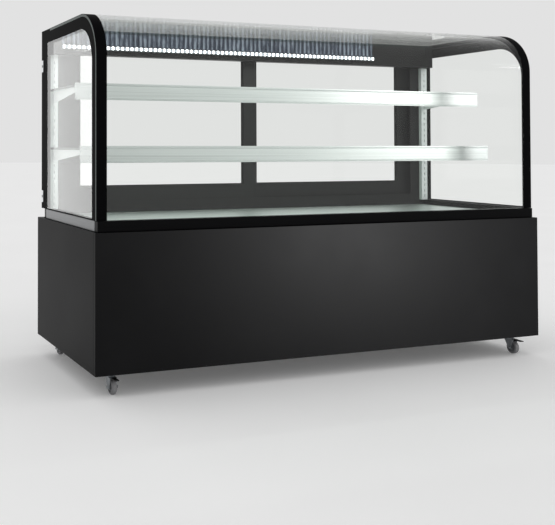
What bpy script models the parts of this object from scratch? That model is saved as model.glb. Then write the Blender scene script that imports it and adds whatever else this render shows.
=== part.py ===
"""A refrigerated glass display showcase for a shop counter, in metres, with +Z up.

The customer side faces -Y and the service side, with its sliding doors, faces +Y.
The origin is on the floor, under the middle of the case.
"""

import math

import bmesh
import bpy
from mathutils import Vector

# Overall sizes
WIDTH = 1.8415
DEPTH = 0.6858
BODY_HEIGHT = 1.1938  # base and glass, without the casters
BASE_HEIGHT = 0.461
UNDER_BASE = 0.075  # height of the casters

# Sheet metal and clearances
SHEET = 0.002
RETURN = 0.018  # depth of the returned edges of the base panels
GAP = 0.0005  # between two fixed pieces
RUN = 0.0015  # between a sliding door and its track, on each side
EDGE = 0.0006  # broken edge on sheet metal
SOFT_EDGE = 0.0015  # rounded edge on extrusions

# Sill and glass
SILL_HEIGHT = 0.036
SILL_WIDTH = 0.030
SILL_INSET = 0.012
GLASS_SIDE_INSET = 0.010
GLASS_FRONT_INSET = 0.020
FRONT_GLASS = 0.010  # thickness
SIDE_GLASS = 0.012
BEND_RADIUS = 0.160  # outer radius of the bent front glass
BEND_STEPS = 16

# Rear frame
REAR_INSET = 0.020
POST_WIDTH = 0.030
JAMB_WIDTH = 0.050
JAMB_WALL = 0.0025
DOOR_THICKNESS = 0.020
TRACK_LIP = 0.003
TRACK_FLOOR = 0.048  # height of the bottom track under the doors
TRACK_LIP_HEIGHT = 0.016
TOP_TRACK_LIP = 0.026
HEADER_HEIGHT = 0.0968
HEADER_DEPTH = 0.110
HEADER_BOX = 0.040
HEADER_LID = 0.012

# Sliding doors
STILE = 0.055
BOTTOM_RAIL = 0.0695
TOP_RAIL = 0.050
DOOR_OVERLAP = 0.033
DOOR_IN_JAMB = 0.006
DOOR_IN_TOP_TRACK = 0.010
DOOR_GLASS = 0.006
DOOR_REBATE = 0.008  # how far the pane reaches into the frame
PULL_WIDTH = 0.030
PULL_HEIGHT = 0.120
PULL_DEPTH = 0.014
PULL_WALL = 0.002
PULL_FROM_JAMB = 0.005

# Interior
DECK_RISE = 0.016
DECK_SLOT = (0.180, 0.008)
DECK_SLOT_PITCH = 0.200
DECK_SLOT_FROM_EDGE = 0.030  # from the deck's front and rear edges
STANDARD_WIDTH = 0.030
STANDARD_DEPTH = 0.018
STANDARD_SIDE_GAP = 0.002
SLOT_PITCH = 0.025
SLOT = (0.004, 0.010, 0.012)
FIRST_SLOT = 0.0175
BRACKET = 0.003
BRACKET_REAR_HEIGHT = 0.045
BRACKET_TIP_HEIGHT = 0.014
SHELF_GLASS = 0.008
UPPER_SHELF_REACH = 0.310  # from the standard to the front of the shelf's rail
LOWER_SHELF_REACH = 0.366
UPPER_SHELF_SHARE = 0.72  # share of the standard's slots below the shelf
LOWER_SHELF_SHARE = 0.35
RAIL_HEIGHT = 0.060
RAIL_DEPTH = 0.012
RAIL_GROOVE = 0.007
RAIL_LIP = 0.006
LAMP_SIZE = (0.015, 0.018)
LAMP_SHORT_OF_RIGHT = 0.297
LAMP_ABOVE_HEADER_FOOT = 0.019

# Cold well
TUB_INSET = 0.024
TUB_HEIGHT = 0.135
TUB_WALL = 0.045
TUB_FLOOR = 0.050
COIL_LENGTH = 0.900
COIL_DEPTH = 0.220
COIL_HEIGHT = 0.060
COIL_GROOVES = 8
COIL_GROOVE_DEPTH = 0.024
WELL_FAN_RADIUS = 0.062
WELL_FAN_FROM_COIL = 0.120
WELL_MOTOR = (0.022, 0.028)  # radius and height

# Machine compartment
PAN_RIM = 0.030
UNIT_FROM_SIDE = 0.130
CONDENSER = (0.320, 0.055, 0.270)
CONDENSER_FROM_REAR = 0.045
CONDENSER_GROOVES = 9
CONDENSER_GROOVE_DEPTH = 0.0165
GROOVE = 0.0024  # width
SHROUD_DEPTH = 0.060
FAN_HOLE = 0.115
FAN_RADIUS = 0.104
FAN_THICKNESS = 0.026
FAN_BLADES = 5
FAN_HUB = 0.28  # share of the fan's radius
BLADE_WIDTH = 0.62  # share of the fan's radius
BLADE_PITCH = (math.radians(38), math.radians(24))  # at the hub and at the tip
MOTOR_BAR = 0.020
MOTOR_BAR_THICK = 0.0015
MOTOR_BAR_LAP = 0.009  # of the bar over the plate at each end
MOTOR = (0.032, 0.050)
SHAFT_RADIUS = 0.004
SHAFT_CLEARANCE = 0.0006
COMPRESSOR_RADIUS = 0.080
COMPRESSOR_HEIGHT = 0.200
COMPRESSOR_DOME = 0.048
COMPRESSOR_FROM_UNIT = 0.160
COMPRESSOR_FEET = (0.210, 0.130, 0.003)
DRAIN_PAN = (0.340, 0.220, 0.045)
DRAIN_PAN_FROM_MIDDLE = 0.300
LOUVRE = (0.270, 0.008)
LOUVRE_PITCH = 0.022
LOUVRE_ROWS = 11
LOUVRE_WEB = 0.020

# Controls on the service side
CONTROL = (0.300, 0.016, 0.080)
CONTROL_FROM_SIDE = 0.160
CONTROL_BELOW_TUB = 0.020
CONTROLLER_AT = 0.34  # share of the recess's length
CONTROLLER_FACE = (0.078, 0.006, 0.036)
CONTROLLER_BODY = (0.070, 0.050, 0.028)
KEY = (0.009, 0.006, 0.007)
KEY_TRAVEL = 0.0015
KEY_CLEARANCE = 0.0004
KEY_FROM_MIDDLE = 0.027
KEY_RISE = 0.0081  # of each key above or below the thermostat's middle
ROCKER = (0.018, 0.010, 0.026)
ROCKER_TILT = math.radians(8)
ROCKER_CLEARANCE = 0.0012
ROCKER_PITCH = 0.045
ROCKER_FROM_END = 0.03375  # from the recess's end to the first rocker's middle
GLAND_RADIUS = 0.011
GLAND_LENGTH = 0.016
GLAND_BORE = 0.004

# Casters
WHEEL_RADIUS = 0.025
WHEEL_WIDTH = 0.018
AXLE_RADIUS = 0.004
AXLE_CLEARANCE = 0.0006
FORK_WALL = 0.0025
FORK_GAP = 0.0015
WHEEL_TO_CROWN = 0.004
CHEEK_FOOT = 0.008  # of the fork's cheeks, below and beside the axle
CROWN_PAST_AXLE = 0.010
CROWN_PAST_SWIVEL = 0.0136
TREAD_EDGE = 0.002
TREAD_FLAT = 0.6  # share of the wheel's width
CASTER_FROM_SIDE = 0.077
CASTER_FROM_END = 0.070
TRAIL = 0.018
SWIVEL_RADIUS = 0.017
PEDAL_LENGTH = 0.032
PEDAL_WIDTH = 0.016
PEDAL = 0.003
PEDAL_PIN = 0.0012  # radius
PEDAL_EYE = 0.0026
PEDAL_FROM_CROWN = 0.004
EAR = 0.002
ROUND = 24

# Places worked out from the sizes
FLOOR_SIDE = WIDTH / 2
FRONT = -DEPTH / 2
REAR = DEPTH / 2
BASE_TOP = UNDER_BASE + BASE_HEIGHT
TOP = UNDER_BASE + BODY_HEIGHT
SILL_TOP = BASE_TOP + GAP + SILL_HEIGHT
FRAME_REAR = REAR - REAR_INSET
CHANNEL = DOOR_THICKNESS + 2 * RUN
TRACK_DEPTH = 3 * TRACK_LIP + 2 * CHANNEL
FRAME_FRONT = FRAME_REAR - TRACK_DEPTH
GLASS_INSIDE = FLOOR_SIDE - GLASS_SIDE_INSET - SIDE_GLASS
POST_OUTER = GLASS_INSIDE - GAP
POST_INNER = POST_OUTER - POST_WIDTH
JAMB_TIP = POST_INNER - JAMB_WIDTH
HEADER_FRONT = FRAME_REAR - HEADER_DEPTH
HEADER_FOOT = TOP - HEADER_HEIGHT
HEADER_UNDERSIDE = TOP - HEADER_LID
DOOR_END = JAMB_TIP + DOOR_IN_JAMB
DOOR_FOOT = BASE_TOP + GAP + TRACK_FLOOR + RUN
DOOR_HEAD = HEADER_UNDERSIDE - TOP_TRACK_LIP - GAP + DOOR_IN_TOP_TRACK
PAN_FLOOR = UNDER_BASE + SHEET + GAP
PAN_TOP = PAN_FLOOR + SHEET
TUB_TOP = BASE_TOP - SHEET - GAP
WELL_FLOOR = TUB_TOP - TUB_HEIGHT + TUB_FLOOR
DECK_TOP = BASE_TOP + DECK_RISE
DECK_REAR = FRAME_FRONT - GAP
STANDARD_FRONT = FRAME_FRONT - GAP - STANDARD_DEPTH
STANDARD_OUTER = POST_OUTER - STANDARD_SIDE_GAP
STANDARD_FOOT = SILL_TOP + GAP
STANDARD_HEAD = HEADER_FOOT - GAP
STANDARD_MIDDLE = STANDARD_OUTER - STANDARD_WIDTH / 2
SLOT_COUNT = int((STANDARD_HEAD - STANDARD_FOOT - 2 * FIRST_SLOT) / SLOT_PITCH) + 1


def clear_scene():
    for obj in list(bpy.data.objects):
        bpy.data.objects.remove(obj, do_unlink=True)


def collection(name):
    made = bpy.data.collections.new(name)
    bpy.context.scene.collection.children.link(made)
    return made


def finish(name, colour, roughness, metallic=0.0, alpha=1.0):
    """A Principled material with a linear RGB colour."""
    made = bpy.data.materials.new(name)
    made.use_nodes = True
    shader = made.node_tree.nodes["Principled BSDF"]
    shader.inputs["Base Color"].default_value = (*colour, 1.0)
    shader.inputs["Roughness"].default_value = roughness
    shader.inputs["Metallic"].default_value = metallic
    shader.inputs["Alpha"].default_value = alpha
    return made


clear_scene()
SHOWCASE = collection("glass_display_showcase")
CUTTERS = collection("cutters")

BLACK_STEEL = finish("black_powder_coat", (0.012, 0.012, 0.013), 0.35)
BLACK_ALUMINIUM = finish("black_aluminium", (0.010, 0.010, 0.011), 0.40, 0.4)
DARK_ALUMINIUM = finish("dark_aluminium", (0.05, 0.05, 0.05), 0.40, 0.8)
STAINLESS = finish("stainless_steel", (0.55, 0.57, 0.57), 0.30, 1.0)
CLEAR_GLASS = finish("clear_glass", (0.80, 0.88, 0.86), 0.02, 0.0, 0.30)
WHITE_PLASTIC = finish("white_plastic", (0.70, 0.74, 0.72), 0.40)
LAMP_WHITE = finish("lamp_diffuser", (0.95, 0.97, 1.0), 0.30)
FOAM_WHITE = finish("white_liner", (0.65, 0.66, 0.66), 0.45)
FIN_ALUMINIUM = finish("fin_aluminium", (0.45, 0.45, 0.44), 0.40, 1.0)
BLACK_PLASTIC = finish("black_plastic", (0.015, 0.015, 0.015), 0.45)
CASTER_GREY = finish("caster_grey", (0.12, 0.12, 0.12), 0.55)
ZINC = finish("zinc_plate", (0.35, 0.35, 0.36), 0.40, 1.0)


def add(name, data, place, material=None, parent=None, cutter=False):
    """Puts a mesh or curve in the scene at a world place, under its parent empty."""
    obj = bpy.data.objects.new(name, data)
    (CUTTERS if cutter else SHOWCASE).objects.link(obj)
    obj.location = place
    if parent:
        obj.parent = parent
        obj.location = Vector(place) - parent.matrix_world.translation
    if material:
        data.materials.append(material)
    if cutter:
        obj.hide_render = True
        obj.display_type = "WIRE"
    return obj


def pivot(name, place, parent=None):
    """An empty on a joint's axis, which carries the pieces that move with it."""
    made = add(name, None, place, parent=parent)
    bpy.context.view_layer.update()
    return made


def middle(low, high):
    return (Vector(low) + Vector(high)) / 2


def cube_mesh(name, low, high, origin):
    """A cube primitive stretched between two corners, as seen from the origin."""
    size = Vector(high) - Vector(low)
    shift = middle(low, high) - Vector(origin)
    bm = bmesh.new()
    bmesh.ops.create_cube(bm, size=1.0)
    bmesh.ops.scale(bm, vec=size, verts=bm.verts)
    bmesh.ops.translate(bm, vec=shift, verts=bm.verts)
    mesh = bpy.data.meshes.new(name)
    bm.to_mesh(mesh)
    bm.free()
    return mesh


def bevel(obj, width, segments=1):
    made = obj.modifiers.new("Bevel", "BEVEL")
    made.width = width
    made.segments = segments
    made.limit_method = "ANGLE"
    made.angle_limit = math.radians(40)


def box(name, low, high, material=None, edge=0.0, origin=None, parent=None, cutter=False):
    origin = middle(low, high) if origin is None else origin
    obj = add(name, cube_mesh(name, low, high, origin), origin, material, parent, cutter)
    if edge:
        bevel(obj, edge)
    return obj


def tray(name, low, high, open_sides, material, wall=SHEET, edge=EDGE, cutter=False):
    """Folded sheet metal: a box with sides missing, given its wall inwards."""
    obj = box(name, low, high, material, cutter=cutter)
    bm = bmesh.new()
    bm.from_mesh(obj.data)
    bm.normal_update()
    sides = [Vector(side) for side in open_sides]
    gone = [f for f in bm.faces if any(f.normal.dot(side) > 0.9 for side in sides)]
    bmesh.ops.delete(bm, geom=gone, context="FACES")
    bm.to_mesh(obj.data)
    bm.free()
    solid = obj.modifiers.new("Solidify", "SOLIDIFY")
    solid.thickness = wall
    solid.offset = -1.0
    solid.use_even_offset = True
    if edge:
        bevel(obj, edge)
    return obj


def cylinder(name, centre, radius, length, axis, material=None, steps=ROUND, origin=None,
             parent=None, cutter=False):
    """A cylinder primitive along X, Y or Z."""
    origin = Vector(centre) if origin is None else Vector(origin)
    bm = bmesh.new()
    bmesh.ops.create_cone(bm, cap_ends=True, segments=steps, radius1=radius, radius2=radius,
                          depth=length)
    bmesh.ops.rotate(bm, cent=(0, 0, 0), matrix=Vector((0, 0, 1)).rotation_difference(
        Vector(axis)).to_matrix(), verts=bm.verts)
    bmesh.ops.translate(bm, vec=Vector(centre) - origin, verts=bm.verts)
    mesh = bpy.data.meshes.new(name)
    bm.to_mesh(mesh)
    bm.free()
    obj = add(name, mesh, origin, material, parent, cutter)
    mesh.shade_smooth()
    mesh.set_sharp_from_angle(angle=math.radians(35))
    return obj


TURNS = {"X": (math.pi / 2, 0, math.pi / 2), "Y": (math.pi / 2, 0, 0), "Z": (0, 0, 0)}


def outline(name, points, axis, low, high, material=None):
    """A flat outline carried along an axis between two stations.

    The points are (Y, Z) for X, (X, Z) for Y and (X, Y) for Z.
    """
    curve = bpy.data.curves.new(name, "CURVE")
    curve.dimensions = "2D"
    curve.fill_mode = "BOTH"
    curve.extrude = (high - low) / 2
    spline = curve.splines.new("POLY")
    spline.points.add(len(points) - 1)
    for point, (u, v) in zip(spline.points, points):
        point.co = (u, v, 0, 1)
    spline.use_cyclic_u = True
    station = (low + high) / 2
    place = {"X": (station, 0, 0), "Y": (0, station, 0), "Z": (0, 0, station)}[axis]
    obj = add(name, curve, place, material)
    obj.rotation_euler = TURNS[axis]
    return obj


def boolean(obj, other, operation):
    made = obj.modifiers.new(operation.title(), "BOOLEAN")
    made.operation = operation
    made.object = other
    made.solver = "EXACT"


def cut(obj, other):
    boolean(obj, other, "DIFFERENCE")


def unite(obj, other):
    boolean(obj, other, "UNION")


def boxes_cutter(name, pairs):
    """One cutter that holds many separate boxes, each given by two corners."""
    bm = bmesh.new()
    for low, high in pairs:
        made = bmesh.ops.create_cube(bm, size=1.0)["verts"]
        bmesh.ops.scale(bm, vec=Vector(high) - Vector(low), verts=made)
        bmesh.ops.translate(bm, vec=middle(low, high), verts=made)
    mesh = bpy.data.meshes.new(name)
    bm.to_mesh(mesh)
    bm.free()
    return add(name, mesh, (0, 0, 0), cutter=True)


def turned(name, profile, place, axis, steps, material, parent=None):
    """A profile of (radius, height) points, top to bottom, turned about an axis."""
    bm = bmesh.new()
    made = [bm.verts.new((radius, 0, height)) for radius, height in profile]
    for a, b in zip(made, made[1:]):
        bm.edges.new((a, b))
    mesh = bpy.data.meshes.new(name)
    bm.to_mesh(mesh)
    bm.free()
    obj = add(name, mesh, place, material, parent)
    obj.rotation_euler = Vector((0, 0, 1)).rotation_difference(Vector(axis)).to_euler()
    screw = obj.modifiers.new("Screw", "SCREW")
    screw.steps = steps
    screw.render_steps = steps
    screw.use_merge_vertices = True
    screw.merge_threshold = 0.00001
    return obj


def base_panels():
    low, high = UNDER_BASE, BASE_TOP
    tray("front_panel", (-FLOOR_SIDE, FRONT, low), (FLOOR_SIDE, FRONT + RETURN, high),
         [(0, 1, 0)], BLACK_STEEL)
    for side, name in ((-1, "left_side_panel"), (1, "right_side_panel")):
        outer, inner = side * FLOOR_SIDE, side * (FLOOR_SIDE - RETURN)
        tray(name, (min(outer, inner), FRONT + RETURN + GAP, low),
             (max(outer, inner), REAR - RETURN - GAP, high),
             [(-side, 0, 0), (0, -1, 0), (0, 1, 0)], BLACK_STEEL)
    tray("base_pan", (-FLOOR_SIDE + SHEET + GAP, FRONT + SHEET + GAP, PAN_FLOOR),
         (FLOOR_SIDE - SHEET - GAP, REAR - SHEET - GAP, PAN_FLOOR + PAN_RIM),
         [(0, 0, 1)], BLACK_STEEL, edge=0)


def control_box():
    """Corners of the control recess in the rear panel."""
    right = FLOOR_SIDE - CONTROL_FROM_SIDE
    top = TUB_TOP - TUB_HEIGHT - CONTROL_BELOW_TUB
    low = Vector((right - CONTROL[0], REAR - CONTROL[1] - SHEET, top - CONTROL[2]))
    return low, Vector((right, REAR - GAP, top))


def unit_middle():
    return -FLOOR_SIDE + UNIT_FROM_SIDE + CONDENSER[0] / 2


def rear_panel():
    panel = tray("rear_panel", (-FLOOR_SIDE, REAR - RETURN, UNDER_BASE),
                 (FLOOR_SIDE, REAR, BASE_TOP), [(0, -1, 0)], BLACK_STEEL, edge=0)
    low, high = control_box()
    grow = Vector((GAP, RETURN, GAP))
    holes = [(low - grow, high + grow)]
    first = PAN_FLOOR + PAN_RIM + LOUVRE_PITCH
    for row in range(LOUVRE_ROWS):
        foot = first + row * LOUVRE_PITCH
        for side in (-1, 1):
            near = unit_middle() + side * LOUVRE_WEB / 2
            far = near + side * LOUVRE[0]
            holes.append(((min(near, far), REAR - 2 * SHEET, foot),
                          (max(near, far), REAR + SHEET, foot + LOUVRE[1])))
    cut(panel, boxes_cutter("rear_panel_cutter", holes))
    gland_x, gland_z = gland_place()
    cut(panel, cylinder("gland_hole_cutter", (gland_x, REAR, gland_z), GLAND_RADIUS + GAP,
                        4 * SHEET, (0, 1, 0), cutter=True))


def gland_place():
    return FLOOR_SIDE - CONTROL_FROM_SIDE / 2, UNDER_BASE + BASE_HEIGHT / 3


def cord_gland():
    """The bush that a supply lead would enter by, flush with the rear panel."""
    x, z = gland_place()
    bush = cylinder("cord_gland", (x, REAR - GLAND_LENGTH / 2, z), GLAND_RADIUS, GLAND_LENGTH,
                    (0, 1, 0), BLACK_PLASTIC)
    cut(bush, cylinder("gland_bore_cutter", (x, REAR - GLAND_LENGTH / 2, z), GLAND_BORE,
                       2 * GLAND_LENGTH, (0, 1, 0), steps=12, cutter=True))


def controls():
    low, high = control_box()
    panel = tray("control_panel", low, high, [(0, 1, 0)], BLACK_ALUMINIUM, edge=0)
    floor = low.y + SHEET
    mid_z = (low.z + high.z) / 2
    face_x = low.x + CONTROL[0] * CONTROLLER_AT
    holes = [((face_x - CONTROLLER_BODY[0] / 2 - GAP, low.y - SHEET,
               mid_z - CONTROLLER_BODY[2] / 2 - GAP),
              (face_x + CONTROLLER_BODY[0] / 2 + GAP, floor + SHEET,
               mid_z + CONTROLLER_BODY[2] / 2 + GAP))]
    for index, name in enumerate(("power_switch", "light_switch")):
        x = high.x - ROCKER_FROM_END - index * ROCKER_PITCH
        holes.append(((x - ROCKER[0] / 2 - GAP, low.y - SHEET,
                       mid_z - ROCKER[2] / 2 - ROCKER_CLEARANCE),
                      (x + ROCKER[0] / 2 + GAP, floor + SHEET,
                       mid_z + ROCKER[2] / 2 + ROCKER_CLEARANCE)))
        centre = Vector((x, floor, mid_z))
        half = Vector(ROCKER) / 2
        rocker = box(name, centre - half, centre + half, BLACK_PLASTIC, SOFT_EDGE)
        rocker.rotation_euler = (-ROCKER_TILT, 0, 0)
    cut(panel, boxes_cutter("control_panel_cutter", holes))
    controller(Vector((face_x, floor + GAP, mid_z)))


def controller(back):
    """The thermostat: a bezel on the panel, its body through it, and two keys."""
    half_x, half_z = CONTROLLER_FACE[0] / 2, CONTROLLER_FACE[2] / 2
    face = box("controller", back + Vector((-half_x, 0, -half_z)),
               back + Vector((half_x, CONTROLLER_FACE[1], half_z)), BLACK_PLASTIC, EDGE)
    body_x, body_z = CONTROLLER_BODY[0] / 2, CONTROLLER_BODY[2] / 2
    unite(face, box("controller_body", back + Vector((-body_x, -CONTROLLER_BODY[1], -body_z)),
                    back + Vector((body_x, CONTROLLER_FACE[1] / 2, body_z)), cutter=True))
    front = back.y + CONTROLLER_FACE[1]
    pockets = []
    for side, name in ((-1, "down_key"), (1, "up_key")):
        centre = Vector((back.x + KEY_FROM_MIDDLE, front, back.z + side * KEY_RISE))
        half = Vector((KEY[0] / 2, 0, KEY[2] / 2))
        low = centre - half - Vector((0, KEY[1] - KEY_TRAVEL - GAP, 0))
        box(name, low, low + Vector(KEY), CASTER_GREY, EDGE)
        room = Vector((KEY_CLEARANCE, KEY_TRAVEL + GAP, KEY_CLEARANCE))
        pockets.append((low - room, centre + half + Vector((KEY_CLEARANCE, KEY[1],
                                                             KEY_CLEARANCE))))
    cut(face, boxes_cutter("key_pockets_cutter", pockets))


def cold_well():
    low = Vector((-FLOOR_SIDE + TUB_INSET, FRONT + TUB_INSET, TUB_TOP - TUB_HEIGHT))
    high = Vector((FLOOR_SIDE - TUB_INSET, REAR - TUB_INSET, TUB_TOP))
    tub = box("insulated_tub", low, high, FOAM_WHITE)
    inset = Vector((TUB_WALL, TUB_WALL, 0))
    cut(tub, box("well_cutter", Vector((low.x, low.y, WELL_FLOOR)) + inset,
                 Vector((high.x, high.y, TUB_TOP + TUB_FLOOR)) - inset, cutter=True))
    coil_low = Vector((-COIL_LENGTH / 2 - WELL_FAN_FROM_COIL, -COIL_DEPTH / 2, WELL_FLOOR + GAP))
    coil = box("evaporator_coil", coil_low,
               coil_low + Vector((COIL_LENGTH, COIL_DEPTH, COIL_HEIGHT)), FIN_ALUMINIUM)
    grooves = []
    for index in range(1, COIL_GROOVES + 1):
        x = coil_low.x + COIL_LENGTH * index / (COIL_GROOVES + 1)
        groove_foot = coil_low.z + COIL_HEIGHT - COIL_GROOVE_DEPTH
        grooves.append(((x - GROOVE / 2, coil_low.y - COIL_DEPTH, groove_foot),
                        (x + GROOVE / 2, coil_low.y + 2 * COIL_DEPTH, groove_foot + COIL_HEIGHT)))
    cut(coil, boxes_cutter("coil_groove_cutter", grooves))
    well_fan(coil_low.x + COIL_LENGTH + WELL_FAN_FROM_COIL)


def well_fan(x):
    radius, height = WELL_MOTOR
    foot = WELL_FLOOR + GAP
    motor = cylinder("evaporator_fan_motor", (x, 0, foot + height / 2), radius, height,
                     (0, 0, 1), BLACK_PLASTIC, steps=16)
    unite(motor, cylinder("well_shaft", (x, 0, foot + height), SHAFT_RADIUS, height / 2,
                          (0, 0, 1), steps=12, cutter=True))
    blades = FAN_THICKNESS * 0.7
    fan("evaporator_fan", (x, 0, foot + height + 2 * GAP + blades / 2), WELL_FAN_RADIUS, blades,
        (0, 0, 1), FAN_BLADES)


def fan(name, centre, radius, thickness, axis, blades):
    """A fan wheel: a hub with a blind bore for the shaft, and pitched blades."""
    hub_radius = max(radius * FAN_HUB, SHAFT_RADIUS * 2.5)
    hub = cylinder(name, (0, 0, 0), hub_radius, thickness, (0, 0, 1), BLACK_PLASTIC, steps=20)
    bm = bmesh.new()
    reach = radius - hub_radius * 0.8
    for index in range(blades):
        made = bmesh.ops.create_cube(bm, size=1.0)["verts"]
        bmesh.ops.scale(bm, vec=(reach, radius * BLADE_WIDTH, SHEET), verts=made)
        for vert in made:
            outer = vert.co.x > 0
            pitch = BLADE_PITCH[1] if outer else BLADE_PITCH[0]
            width = vert.co.y * (1.0 if outer else BLADE_WIDTH)
            thin = vert.co.z
            vert.co.y = width * math.cos(pitch) - thin * math.sin(pitch)
            vert.co.z = width * math.sin(pitch) * 0.8 + thin * math.cos(pitch)
        bmesh.ops.translate(bm, vec=(hub_radius * 0.8 + reach / 2, 0, 0), verts=made)
        turn = Vector((1, 0, 0)).rotation_difference(
            Vector((math.cos(2 * math.pi * index / blades),
                    math.sin(2 * math.pi * index / blades), 0)))
        bmesh.ops.rotate(bm, cent=(0, 0, 0), matrix=turn.to_matrix(), verts=made)
    mesh = bpy.data.meshes.new(name + "_blades")
    bm.to_mesh(mesh)
    bm.free()
    spread = add(name + "_blades", mesh, (0, 0, 0), cutter=True)
    bore = cylinder(name + "_bore", (0, 0, -thickness * 0.3), SHAFT_RADIUS + SHAFT_CLEARANCE,
                    thickness, (0, 0, 1), steps=16, cutter=True)
    unite(hub, spread)
    cut(hub, bore)
    turn = Vector((0, 0, 1)).rotation_difference(Vector(axis)).to_euler()
    for piece in (hub, spread, bore):
        piece.location = centre
        piece.rotation_euler = turn
    return hub


def condensing_unit():
    x = unit_middle()
    half = CONDENSER[0] / 2
    rear = REAR - CONDENSER_FROM_REAR
    front = rear - CONDENSER[1]
    foot = PAN_TOP + GAP
    head = foot + CONDENSER[2]
    coil = box("condenser_coil", (x - half, front, foot), (x + half, rear, head), FIN_ALUMINIUM)
    grooves = []
    for index in range(1, CONDENSER_GROOVES + 1):
        z = foot + CONDENSER[2] * index / (CONDENSER_GROOVES + 1)
        grooves.append(((x - 2 * half, rear - CONDENSER_GROOVE_DEPTH, z - GROOVE / 2),
                        (x + 2 * half, rear + CONDENSER[1], z + GROOVE / 2)))
    cut(coil, boxes_cutter("condenser_groove_cutter", grooves))

    plate = front - GAP - SHROUD_DEPTH
    shroud = tray("fan_shroud", (x - half, plate, foot), (x + half, front - GAP, head),
                  [(0, 1, 0)], ZINC, edge=0)
    centre_z = (foot + head) / 2
    cut(shroud, cylinder("fan_hole_cutter", (x, plate, centre_z), FAN_HOLE, 4 * SHEET,
                         (0, 1, 0), steps=32, cutter=True))
    bar_reach = FAN_HOLE + MOTOR_BAR_LAP
    unite(shroud, box("motor_bar", (x - bar_reach, plate, centre_z - MOTOR_BAR / 2),
                      (x + bar_reach, plate + MOTOR_BAR_THICK, centre_z + MOTOR_BAR / 2),
                      cutter=True))
    radius, length = MOTOR
    unite(shroud, cylinder("motor_can", (x, plate - length / 2 + SHEET / 2, centre_z), radius,
                           length, (0, 1, 0), steps=20, cutter=True))
    fan_middle = plate + SHROUD_DEPTH / 2
    unite(shroud, cylinder("motor_shaft", (x, (plate + fan_middle) / 2, centre_z), SHAFT_RADIUS,
                           SHROUD_DEPTH / 2 + GAP, (0, 1, 0), steps=12, cutter=True))
    fan("condenser_fan", (x, fan_middle, centre_z), FAN_RADIUS, FAN_THICKNESS, (0, 1, 0),
        FAN_BLADES)
    compressor(x + half + COMPRESSOR_FROM_UNIT)
    drain_pan = Vector((DRAIN_PAN_FROM_MIDDLE, -DRAIN_PAN[1] / 2, foot))
    tray("drain_pan", drain_pan, drain_pan + Vector(DRAIN_PAN), [(0, 0, 1)], WHITE_PLASTIC,
         edge=0)


def compressor(x):
    """A sealed pot: straight sides, a domed lid and a foot plate."""
    foot = PAN_TOP + GAP
    radius, height = COMPRESSOR_RADIUS, COMPRESSOR_HEIGHT
    dome = COMPRESSOR_DOME
    steps = 5
    profile = [(radius * math.sin(math.pi / 2 * i / steps),
                height - dome + dome * math.cos(math.pi / 2 * i / steps))
               for i in range(steps + 1)]
    profile += [(radius, dome * 0.5), (radius * 0.82, 0.0), (0.0, 0.0)]
    pot = turned("compressor", profile, (x, 0, foot), (0, 0, 1), ROUND, BLACK_STEEL)
    length, depth, thick = COMPRESSOR_FEET
    unite(pot, box("compressor_feet", (x - length / 2, -depth / 2, foot),
                   (x + length / 2, depth / 2, foot + thick), cutter=True))


def sills():
    foot, head = BASE_TOP + GAP, SILL_TOP
    outer = FLOOR_SIDE - SILL_INSET
    front = FRONT + SILL_INSET
    box("front_sill", (-outer, front, foot), (outer, front + SILL_WIDTH, head),
        BLACK_ALUMINIUM, SOFT_EDGE)
    for side, name in ((-1, "left_sill"), (1, "right_sill")):
        ends = sorted((side * outer, side * (outer - SILL_WIDTH)))
        box(name, (ends[0], front + SILL_WIDTH + GAP, foot), (ends[1], FRAME_FRONT - GAP, head),
            BLACK_ALUMINIUM, SOFT_EDGE)


def bend(front, top, radius, steps=BEND_STEPS):
    """Points of the quarter bend from the upright face round to the flat top."""
    centre_y, centre_z = front + radius, top - radius
    angles = [math.pi - math.pi / 2 * i / steps for i in range(steps + 1)]
    return [(centre_y + radius * math.cos(a), centre_z + radius * math.sin(a)) for a in angles]


def glazing():
    front = FRONT + GLASS_FRONT_INSET
    foot = SILL_TOP + GAP
    back = HEADER_FRONT - GAP
    outside = [(front, foot)] + bend(front, TOP, BEND_RADIUS) + [(back, TOP)]
    inner_front, inner_top = front + FRONT_GLASS, TOP - FRONT_GLASS
    inside = [(inner_front, foot)] + bend(inner_front, inner_top, BEND_RADIUS - FRONT_GLASS)
    inside += [(back, inner_top)]
    width = FLOOR_SIDE - GLASS_SIDE_INSET
    outline("front_curved_glass", outside + inside[::-1], "X", -width, width, CLEAR_GLASS)

    side_front, side_top = inner_front + GAP, inner_top - GAP
    pane = [(side_front, foot)] + bend(side_front, side_top, BEND_RADIUS - FRONT_GLASS - GAP)
    pane += [(back + GAP, side_top), (back + GAP, TOP), (FRAME_REAR, TOP), (FRAME_REAR, foot)]
    for side, name in ((-1, "left_side_glass"), (1, "right_side_glass")):
        ends = sorted((side * width, side * (width - SIDE_GLASS)))
        outline(name, pane, "X", ends[0], ends[1], CLEAR_GLASS)


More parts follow.
